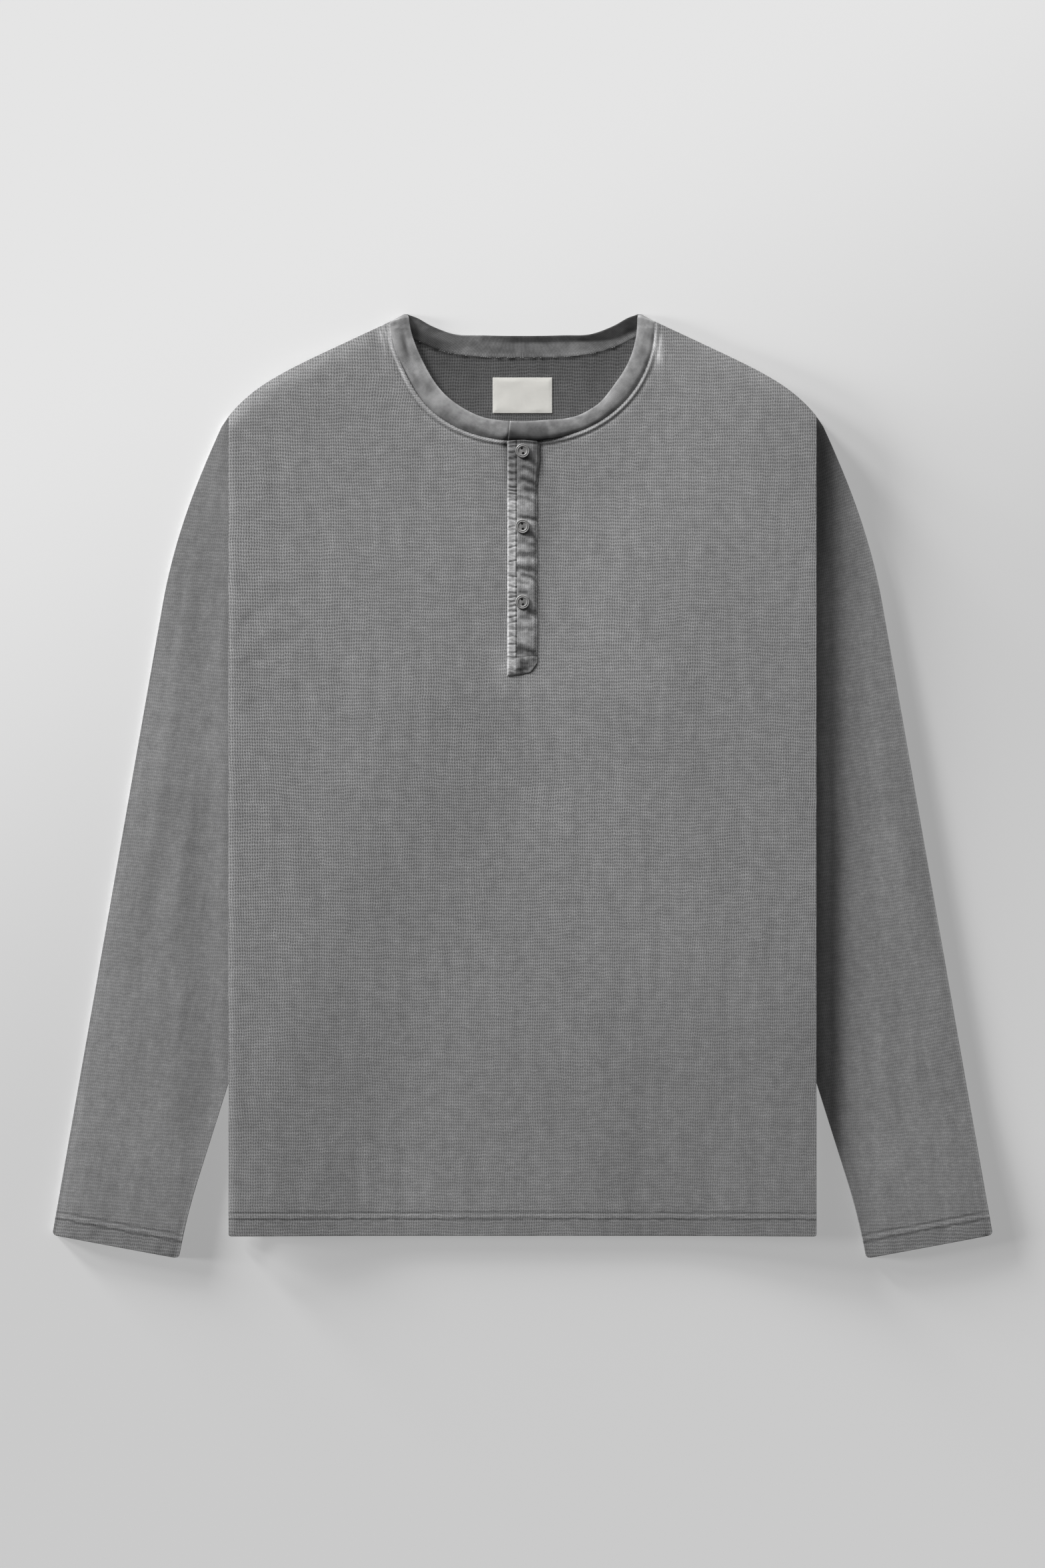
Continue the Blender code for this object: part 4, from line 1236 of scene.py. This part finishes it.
        # darker: painted shade beside the upper end, low on the front, along the seam, in the groove at the
        # left and on the fold's top, with random dark patches
        shade = endShade + foot * (0.24 * bell(share - 0.15, 0.45) + 0.40 * bell(fromSeam, 0.9 * mm))
        shade += 0.38 * overlap
        shade += 0.22 * (1.0 - upper) * bell(fromSeam, 0.9 * mm)
        shade += 0.25 * max(-mottle, 0.0)
        shade += 0.62 * onTop * hump(y, 339, 13) * left * bell(share - groove, 0.13)
        shade += 0.13 * onTop * ramp(y, 350, 355) * softStep((0.9 - share) / 0.1)
        shade += inBack * (0.22 + topShade + lowShade + 0.45 * bell(fromSeam, 0.7 * mm))
        marks = {"wall": wall, "wear": wear, "shade": min(0.9, shade), "inBack": inBack}
        drawnX, drawnY = neckDrawn(x, y, share)
        sunk = 1.5 * mm * hump(abs(x), 81, 7) - 1.95 * mm * hump(abs(x), 52, 14)
        point = (mix(x, drawnX, onTop), mix(y + sunk * share, drawnY, onTop), z)
        return point, (run, fromSeam), marks

    grid = mappedGrid(len(across), len(stations), place)
    piece = addPiece("neckband_strip", grid, [ribCloth, ribCloth], ["neckband"])
    addWall(piece, band["wall"], -1.0)


# placket: two strips down the middle of the front; the upper one is gathered by its washing

placket = {
    "left": -11.7 * mm,
    "right": 12.5 * mm,
    "foot": 85.4 * mm,
    "stitch": -4.5 * mm,
    "wall": 2.0 * mm,
    "swell": -0.35 * mm,
    "thinnest": 0.30 * mm,
    "step": 0.62 * mm,
    "barStitchY": 100.2 * mm,
    "joinY": 264.6 * mm,
    "stitchFoot": 101.0 * mm,
    "edgeStitchTop": 232.0 * mm,
    "puckerSpread": 1.45,
}
# troughs across the strip: height and fall in mm, start and end across, half width, depth, darkness of their
# painted shade
puckers = (
    (252.5, 7.0, 2.5, 12.0, 1.7, 0.7, 0.35),
    (246.0, 6.0, 0.0, 12.0, 1.5, 0.6, 0.40),
    (236.5, 5.0, -1.0, 12.5, 1.9, 0.8, 0.50),
    (229.5, 2.5, 1.0, 12.5, 2.0, 0.8, 0.50),
    (222.5, 3.5, -3.0, 10.0, 1.4, 0.6, 0.32),
    (207.5, 1.8, -1.0, 11.0, 1.1, 0.7, 0.48),
    (195.0, 6.0, 4.5, 12.5, 1.8, 0.7, 0.38),
    (188.0, 3.0, -3.5, 11.0, 1.7, 0.6, 0.30),
    (178.5, 0.5, -3.5, 11.0, 1.8, 0.7, 0.38),
    (168.5, 3.0, -3.5, 11.5, 1.8, 0.8, 0.45),
    (162.5, 4.0, 1.0, 12.0, 1.3, 0.7, 0.42),
    (157.0, 0.5, -4.0, 5.0, 0.9, 0.4, 0.22),
    (149.8, 0.8, -2.0, 4.0, 0.9, 0.4, 0.40),
    (134.5, 1.5, 4.5, 12.0, 1.9, 0.6, 0.42),
    (130.0, 1.0, -1.0, 8.0, 1.5, 0.5, 0.30),
    (122.0, 1.5, -3.5, 9.0, 1.2, 0.4, 0.16),
    (106.5, 4.5, -3.5, 11.0, 2.1, 0.8, 0.50),
    (102.5, 0.5, -4.0, 6.0, 1.5, 0.7, 0.42),
    (89.5, -1.5, -3.0, 6.5, 1.5, 0.4, 0.34),
)
# short bars across the flange: height, fall, half width, darkness of their painted shade
flangeBars = (
    (262.0, 0.0, 0.7, 0.30),
    (257.5, 0.2, 0.8, 0.34),
    (253.0, 0.0, 1.1, 0.36),
    (247.0, 0.4, 1.5, 0.32),
    (241.5, 0.3, 1.6, 0.40),
    (236.0, 0.3, 1.2, 0.34),
    (231.0, 1.0, 0.8, 0.44),
    (228.2, 1.2, 0.6, 0.42),
    (225.6, 0.8, 0.5, 0.34),
    (220.5, 0.0, 0.9, 0.26),
    (212.5, 0.0, 0.5, 0.34),
    (206.0, 0.0, 0.6, 0.22),
    (200.5, -0.8, 0.6, 0.26),
    (194.5, 0.0, 0.7, 0.26),
    (189.0, 0.6, 1.0, 0.34),
    (184.5, -2.0, 0.6, 0.30),
    (173.5, -2.2, 0.6, 0.30),
    (162.0, 0.3, 0.6, 0.22),
    (154.0, 0.8, 0.7, 0.26),
    (149.5, 0.6, 0.7, 0.40),
    (146.0, -1.0, 0.7, 0.44),
    (142.5, -1.4, 0.8, 0.44),
    (139.0, -1.6, 0.8, 0.42),
    (135.2, 0.0, 0.9, 0.42),
    (130.8, -1.2, 0.7, 0.34),
    (126.5, -1.4, 0.6, 0.32),
    (121.0, 0.0, 0.5, 0.22),
    (115.5, 0.0, 0.6, 0.26),
    (109.5, 0.0, 0.5, 0.24),
    (103.5, 0.0, 0.5, 0.24),
)


def placketTroughs(x, y):
    # depth of the troughs, their painted shade, and the painted light on the cloth below them
    deep = 0.0
    dark = 0.0
    light = 0.0
    lift = 0.9 * wobble(x / (4 * mm), y / (5 * mm), 2.5)
    if x > placket["stitch"]:
        for middleY, fall, start, end, halfWide, depth, darkness in puckers:
            share = (x / mm - start) / (end - start)
            middle = middleY - fall * share * abs(share) + lift
            reach = (y / mm - middle) / (halfWide * placket["puckerSpread"])
            if abs(reach) < 4.5 and -0.35 < share < 1.3:
                held = softStep((share + 0.35) / 0.5) * softStep((1.3 - share) / 0.4)
                force = math.exp(-reach * reach) * held
                deep += depth * force
                dark = max(dark, darkness * force)
                # painted light: the cloth below each trough is painted lighter, as if it catches the light
                light = max(light, darkness * held * bell(reach + 2.0, 1.1))
        deep = min(deep, 1.1)
    else:
        share = (x - placket["left"]) / (placket["stitch"] - placket["left"])
        for middleY, fall, halfWide, darkness in flangeBars:
            reach = abs(y / mm - middleY + fall * (share - 0.5) + 0.5 * lift) / (halfWide * 0.95)
            if reach < 2.6:
                force = math.exp(-reach * reach) * softStep(share / 0.25)
                deep = max(deep, 0.5 * force)
                force *= 0.45 + softStep(0.5 + 1.6 * wobble(share * 1.6, middleY * 1.7, 3.1))
                dark = max(dark, darkness * force)
    return deep * mm, min(1.5 * dark, 0.8), light


def eased(value):
    # a rounded rise with no steep start
    return min(max(value, 0.0), 1.0) ** 0.62


def placketPoint(x, y, top):
    # above about 226 mm the strip is wider, darker and sewn down; below, it is paler and gathered
    left = x - placket["left"]
    narrow = 2.0 * mm * ramp(y, 254, 226)
    right = placket["right"] - x
    foot = y - placket["foot"]
    deep, dark, light = placketTroughs(x, y)
    lower = ramp(y, 226, 216)
    flange = ramp(placket["stitch"] - x, 0, 0.9)
    # the sewn edge and the foot are drawn down onto the panel
    down = quarterRound((right + 0.1 * mm) / (2 * mm)) * quarterRound(foot / (2 * mm))
    rest = frontTop(x, y) + mix(0.05 * mm, body["gap"], down)
    full = quarterRound(left / (1.2 * mm)) * eased(right / (9 * mm)) * eased(foot / (6 * mm))
    thinnest = mix(0.12 * mm, placket["thinnest"], down)
    height = thinnest + (placket["wall"] + placket["swell"] - thinnest) * full
    gather = wobble(x / (5.5 * mm), (y + 0.25 * x) / (1.4 * mm), 6.0) * flange
    crumple = wobble(x / (3.6 * mm), (y + 0.4 * x) / (2.6 * mm), 0.7)
    groove = bell(x - placket["stitch"] + 0.2 * mm * crumple, 0.55 * mm) * ramp(y, 98, 101)
    sewnX = placket["right"] - 1.3 * mm
    sewn = bell(x - sewnX - 0.3 * mm * crumple, 0.7 * mm) * ramp(foot, 0, 9)
    upperSeam = ramp(y, 226, 240)
    # the corner of its foot lies almost flush with the panel
    flush = ramp(x, -4, 4) * ramp(foot, 14, 6)
    footDark = ramp(x, -5, -1) * ramp(foot, 15.5, 13.5)
    second = hump(x - sewnX, -2.2, 0.55) * ramp(y, 228, 244)
    barWave = 0.45 * mm * math.sin(x / (3.4 * mm))
    bar = bell(y - placket["barStitchY"] - barWave - 0.3 * mm * crumple, 0.65 * mm)
    join = bell(y - placket["joinY"] + 0.004 * (x / mm) ** 2 * mm, 0.9 * mm)
    sunk = 0.7 * deep + 0.45 * mm * groove + 0.30 * mm * sewn
    height -= sunk + 0.2 * mm * second + 0.2 * mm * bar + 0.4 * mm * join
    height += (0.14 * crumple + 0.20 * gather) * mm * full
    height -= 0.85 * flush * (height - thinnest)
    # each button draws the strip in under it
    drawnIn = [bell(math.hypot(x, y - level), 5.5 * mm) for level in button["heights"].values()]
    height -= 0.35 * mm * max(drawnIn)
    height = max(height, thinnest)
    # lighter: painted light along the left edge, beside the stitching, below the troughs and on the foot's
    # rim; the flange paler, with random pale patches
    leftLine = 0.18 * hump(left, 0.4, 0.6)
    stitchLight = 0.45 * hump(x - placket["stitch"], -1.5, 0.5) * lower
    patches = wobble(x / (8 * mm), y / (9 * mm), 4.0) + 0.5 * crumple
    pale = 0.75 * light + flange * (0.05 + 0.37 * lower) + 0.50 * max(patches, 0.0) * (1.0 - 0.4 * flange)
    pale *= 1.0 - 0.5 * footDark
    footRim = 0.5 * hump(foot, 0.2, 0.6) * ramp(x, -6, 0)
    # darker: painted shade in the troughs, the stitched grooves, the bar and the join, along the sewn edge
    # and the top, and on the gathers; the upper strip and the foot's right part darker, with random dark
    # patches
    shade = darker(dark * (1.0 - 0.30 * lower * flange), 0.62 * groove * mix(1.0, 0.55, lower),
                   0.40 * sewn * upperSeam, 0.15 * sewn, 0.3 * second, 0.66 * bar,
                   0.55 * hump(right, 0.2, 1.3) * upperSeam, 0.5 * join, 0.4 * bell(top - y, 0.8 * mm),
                   0.34 * ramp(y, 226, 246), 0.35 * max(-patches, 0.0),
                   0.85 * flange * max(-gather, 0.0), (0.34 + 0.5 * crumple) * footDark)
    wear = leftLine + stitchLight + pale + footRim
    marks = {"wall": height / placket["wall"], "wear": wear, "shade": shade, "flange": flange}
    # the strip is a little narrower below its top, and its sewn edge isn't quite straight
    wander = 0.35 * mm * wobble(y / (13 * mm), 0.4, 9.1)
    x += (wander - narrow + 1.0 * mm) * max(x - 3 * mm, 0.0) / (placket["right"] - 3 * mm)
    # its foot rises to the right and has lost its corner
    y += seamArch(x) * ramp(y - placket["joinY"], -6, 2)
    cut = 2.4 * mm * ((x - placket["left"]) / (17 * mm)) ** 1.5 + 7.2 * mm * ramp(x, 5, 13) ** 1.3
    y += cut * (1.0 - min(foot / (22 * mm), 1.0)) ** 2
    return (x, y, rest + height), (x, y), marks


def makePlacket():
    top = body["frontNeckY"]
    columns = edged(placket["left"], placket["right"], 0.8 * mm, placket["step"])
    rows = spread([(placket["foot"], 0.25 * mm), (placket["foot"] + 0.8 * mm, placket["step"]), (top, 1.0)])

    def placeOver(column, row):
        return placketPoint(columns[column], rows[row], top)

    grid = mappedGrid(len(columns), len(rows), placeOver)
    over = addPiece("placket_strip", grid, [placketCloth, placketCloth], ["placket_over"])
    addWall(over, placket["wall"], -1.0)

    half = body["slotHalf"] - body["gap"]
    foot = body["slotFootY"] + body["gap"]
    lowRows = spread([(foot, 2.0 * mm), (top, 1.0)])

    def placeUnder(column, row):
        x = half * (column / 4 - 1)
        y = lowRows[row]
        # the lining is painted darker, as the shade under the strip
        marks = {"wall": body["wall"] / placket["wall"], "wear": 0.0, "shade": 0.2, "flange": 0.0}
        tucked = 1.5 * mm * ramp(body["slotShownY"] + 4 * mm - y, 0, 4)
        return (x, y, frontUnder(x, y) - tucked), (x, y), marks

    under = addPiece("placket_lining", mappedGrid(9, len(lowRows), placeUnder), [placketCloth, placketCloth],
                     ["placket_under"])
    addWall(under, placket["wall"], 1.0)


# buttons: turned discs with two raised rings, two bored holes and dark thread in them

button = {
    "heights": {"top": 258.9 * mm, "middle": 200.7 * mm, "bottom": 142.4 * mm},
    "holeRadius": 1.0 * mm,
    "holeY": 2.0 * mm,
    "beadRadius": 0.9 * mm,
    "sunk": 2.7 * mm,
    "turns": {"top": 16.0, "middle": 9.0, "bottom": 11.0},
    "steps": 56,
}
# profile from the middle of the face over the rim to the middle of the back: radius and height in mm
buttonProfile = (
    (0.0, 2.2), (1.4, 2.14), (2.6, 2.04), (3.0, 2.06), (3.3, 2.2), (3.55, 2.4), (3.75, 2.43),
    (3.95, 2.34), (4.15, 2.22), (4.5, 2.2), (4.72, 2.34), (4.9, 2.43), (5.08, 2.4), (5.3, 2.18),
    (5.45, 1.75), (5.45, 1.2), (5.2, 0.75), (4.6, 0.35), (3.6, 0.08), (2.0, 0.0), (0.0, 0.0),
)


def makeButton(level):
    disc = bmesh.new()
    points = [disc.verts.new((radius * mm, 0.0, height * mm)) for radius, height in buttonProfile]
    edges = [disc.edges.new(pair) for pair in zip(points, points[1:])]
    bmesh.ops.spin(disc, geom=points + edges, cent=(0.0, 0.0, 0.0), axis=(0.0, 0.0, 1.0), angle=2 * math.pi,
                   steps=button["steps"], use_merge=True)
    bmesh.ops.remove_doubles(disc, verts=disc.verts, dist=0.0001 * mm)
    bmesh.ops.recalc_face_normals(disc, faces=disc.faces)
    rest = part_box(f"button_{level}")[0].z - button["sunk"]
    piece = addPiece(f"button_{level}_disc", disc, [buttonPlastic], [f"button_{level}"])
    boreHoles(piece, level)
    piece.data.transform(Matrix.Rotation(math.radians(button["turns"][level]), 4, "Z"))
    piece.data.transform(Matrix.Translation((0.0, button["heights"][level], rest)))
    piece.data.set_sharp_from_angle(angle=math.radians(40))
    return rest


def boreHoles(piece, level):
    cutters = []
    for side in (-1, 1):
        hole = bmesh.new()
        bmesh.ops.create_cone(hole, cap_ends=True, segments=20, radius1=button["holeRadius"],
                              radius2=button["holeRadius"], depth=8 * mm)
        bmesh.ops.translate(hole, vec=(0.0, side * button["holeY"], 0.0), verts=hole.verts)
        mesh = bpy.data.meshes.new("hole")
        hole.to_mesh(mesh)
        hole.free()
        cutter = bpy.data.objects.new(f"hole_{level}_{side}", mesh)
        bpy.context.scene.collection.objects.link(cutter)
        cutters.append(cutter)
        bore = piece.modifiers.new("Bore", "BOOLEAN")
        bore.operation = "DIFFERENCE"
        bore.object = cutter
    bpy.context.view_layer.update()
    graph = bpy.context.evaluated_depsgraph_get()
    bored = bpy.data.meshes.new_from_object(piece.evaluated_get(graph))
    piece.modifiers.clear()
    piece.data = bored
    for cutter in cutters:
        bpy.data.objects.remove(cutter)


def makeButtonThread(level, rest):
    # a dark bead of thread deep in each hole
    thread = bmesh.new()
    y = button["heights"][level]
    turn = Matrix.Rotation(math.radians(button["turns"][level]), 4, "Z")
    for side in (-1, 1):
        made = bmesh.ops.create_uvsphere(thread, u_segments=10, v_segments=6, radius=button["beadRadius"])
        place = turn @ Vector((0.0, side * button["holeY"], 0.35 * mm))
        bmesh.ops.translate(thread, vec=(place.x, y + place.y, rest + place.z), verts=made["verts"])
    addPiece(f"button_{level}_thread", thread, [threadDark])


# label: a plain woven rectangle on the inside of the back

label = {"half": 22.9 * mm, "top": 315.6 * mm, "foot": 288.1 * mm, "thick": 0.16 * mm, "step": 0.9 * mm}


def makeLabel():
    columns = edged(-label["half"], label["half"], 0.6 * mm, label["step"])
    rows = edged(label["foot"], label["top"], 0.6 * mm, label["step"])
    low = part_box("label")[0].z

    def place(column, row):
        x = columns[column]
        y = rows[row]
        edge = min(label["half"] - abs(x), y - label["foot"], label["top"] - y)
        wave = 0.14 * mm * (1.0 + wobble(x / (12 * mm), y / (9 * mm), 1.5)) * ramp(edge, 0, 3)
        share = mix(0.6, 1.0, quarterRound(edge / (0.3 * mm)))
        stitched = hump(edge, 1.4, 0.4)
        return (x, y, low + wave), (x, y), {"wall": share, "wear": 0.25 * stitched}

    grid = mappedGrid(len(columns), len(rows), place)
    piece = addPiece("label_tape_blank", grid, [labelTape, labelTape], ["label"])
    addWall(piece, label["thick"], 1.0)


# stitches, each a small slim bead lying in its furrow

stitch = {
    "radius": 0.24 * mm,
    "sides": 6,
    "rings": 5,
    "hemPitch": 3.1 * mm,
    "neckPitch": 1.7 * mm,
    "neckRadius": 0.28 * mm,
    "placketPitch": 2.6 * mm,
}


def layStitches(name, path, pitch, finish, fill=0.78, radius=None, sparse=-2.0):
    # path(distance) gives the point and direction at that length, or None past its end;
    # with sparse, a bead is left out where the unevenness is under it
    sewn = bmesh.new()
    radius = radius or stitch["radius"]
    distance = pitch / 2
    while True:
        found = path(distance)
        if found is None:
            break
        point, direction = found
        size = wobble(distance / (3.1 * mm), 0.0, 3.3)
        distance += pitch
        if size < sparse:
            continue
        made = bmesh.ops.create_uvsphere(sewn, u_segments=stitch["sides"], v_segments=stitch["rings"],
                                         radius=radius)
        stretch = Matrix.Diagonal((1.0, 1.0, pitch * fill / 2 / radius, 1.0))
        turn = Vector(direction).to_track_quat("Z", "X").to_matrix().to_4x4()
        bmesh.ops.transform(sewn, matrix=Matrix.Translation(point) @ turn @ stretch, verts=made["verts"])
    addPiece(name, sewn, [finish])


def alongPoints(points):
    # a path through points, as layStitches wants it
    lengths = [0.0]
    for before, after in zip(points, points[1:]):
        lengths.append(lengths[-1] + (Vector(after) - Vector(before)).length)

    def path(distance):
        if distance >= lengths[-1]:
            return None
        index = max(i for i in range(len(lengths)) if lengths[i] <= distance)
        before = Vector(points[index])
        after = Vector(points[index + 1])
        share = (distance - lengths[index]) / (lengths[index + 1] - lengths[index])
        return before.lerp(after, share), after - before

    return path


def makeStitches():
    low, high = waffle["hemLines"]
    reach = body["half"] - 4 * mm
    count = 240
    for row, rise in (("low", low), ("high", high)):
        y = body["hemY"] + rise
        xs = [mix(-reach, reach, index / count) for index in range(count + 1)]
        points = [(x, y, frontTop(x, y) - 0.34 * mm) for x in xs]
        layStitches(f"hem_stitches_{row}", alongPoints(points), stitch["hemPitch"], threadCloth)
    specks = []
    for index in range(-300, 301):
        x = index / 300 * 80 * mm
        wander = 0.5 * mm * wobble(x / (7 * mm), 1.5, 8.0)
        specks.append((x, backNeckY(x) - 0.4 * mm + wander, body["wall"] + 0.55 * mm))
    layStitches("back_neck_stitches", alongPoints(specks), stitch["neckPitch"], threadPale, fill=0.5,
                radius=stitch["neckRadius"], sparse=0.12)
    top = body["frontNeckY"]
    for name, x, end in (("flange", placket["stitch"], top - 1 * mm),
                         ("edge", placket["right"] - 3.0 * mm, placket["edgeStitchTop"])):
        ys = [mix(placket["stitchFoot"], end, index / 120) for index in range(121)]
        points = [(x, y, placketPoint(x, y, top)[0][2] - 0.14 * mm) for y in ys]
        layStitches(f"placket_{name}_stitches", alongPoints(points), stitch["placketPitch"], threadCloth)


# build

view = bpy.context.scene.view_settings
view.view_transform = "Standard"
view.look = "None"

world = bpy.data.worlds.new("studio")
world.use_nodes = True
world.node_tree.nodes["Background"].inputs["Color"].default_value = (studio["world"],) * 3 + (1.0,)
bpy.context.scene.world = world
addCamera()
addLights(addFloor())
print("studio ready")

waffleOuter = waffleFinish("waffle outer", bodyKnit)
waffleSleeve = waffleFinish("waffle sleeve", sleeveKnit)
waffleInner = waffleFinish("waffle inner", insideKnit)
ribCloth = ribFinish("rib cloth")
placketCloth = placketFinish("placket cloth")
buttonPlastic = buttonFinish()
labelTape = labelFinish()
threadCloth = threadFinish("thread grey", 0.11)
threadDark = threadFinish("thread dark", 0.05)
threadPale = threadFinish("thread pale", 0.30)

makeFront()
print("front done")
makeBack()
print("back done")
makeSleeve("sleeve_tube_left", -1, "sleeve_left")
makeSleeve("sleeve_tube_right", 1, "sleeve_right")
print("sleeves done")
makeNeckband()
makePlacket()
print("neckband and placket done")
for level in button["heights"]:
    makeButtonThread(level, makeButton(level))
makeLabel()
makeStitches()
print("trims done")
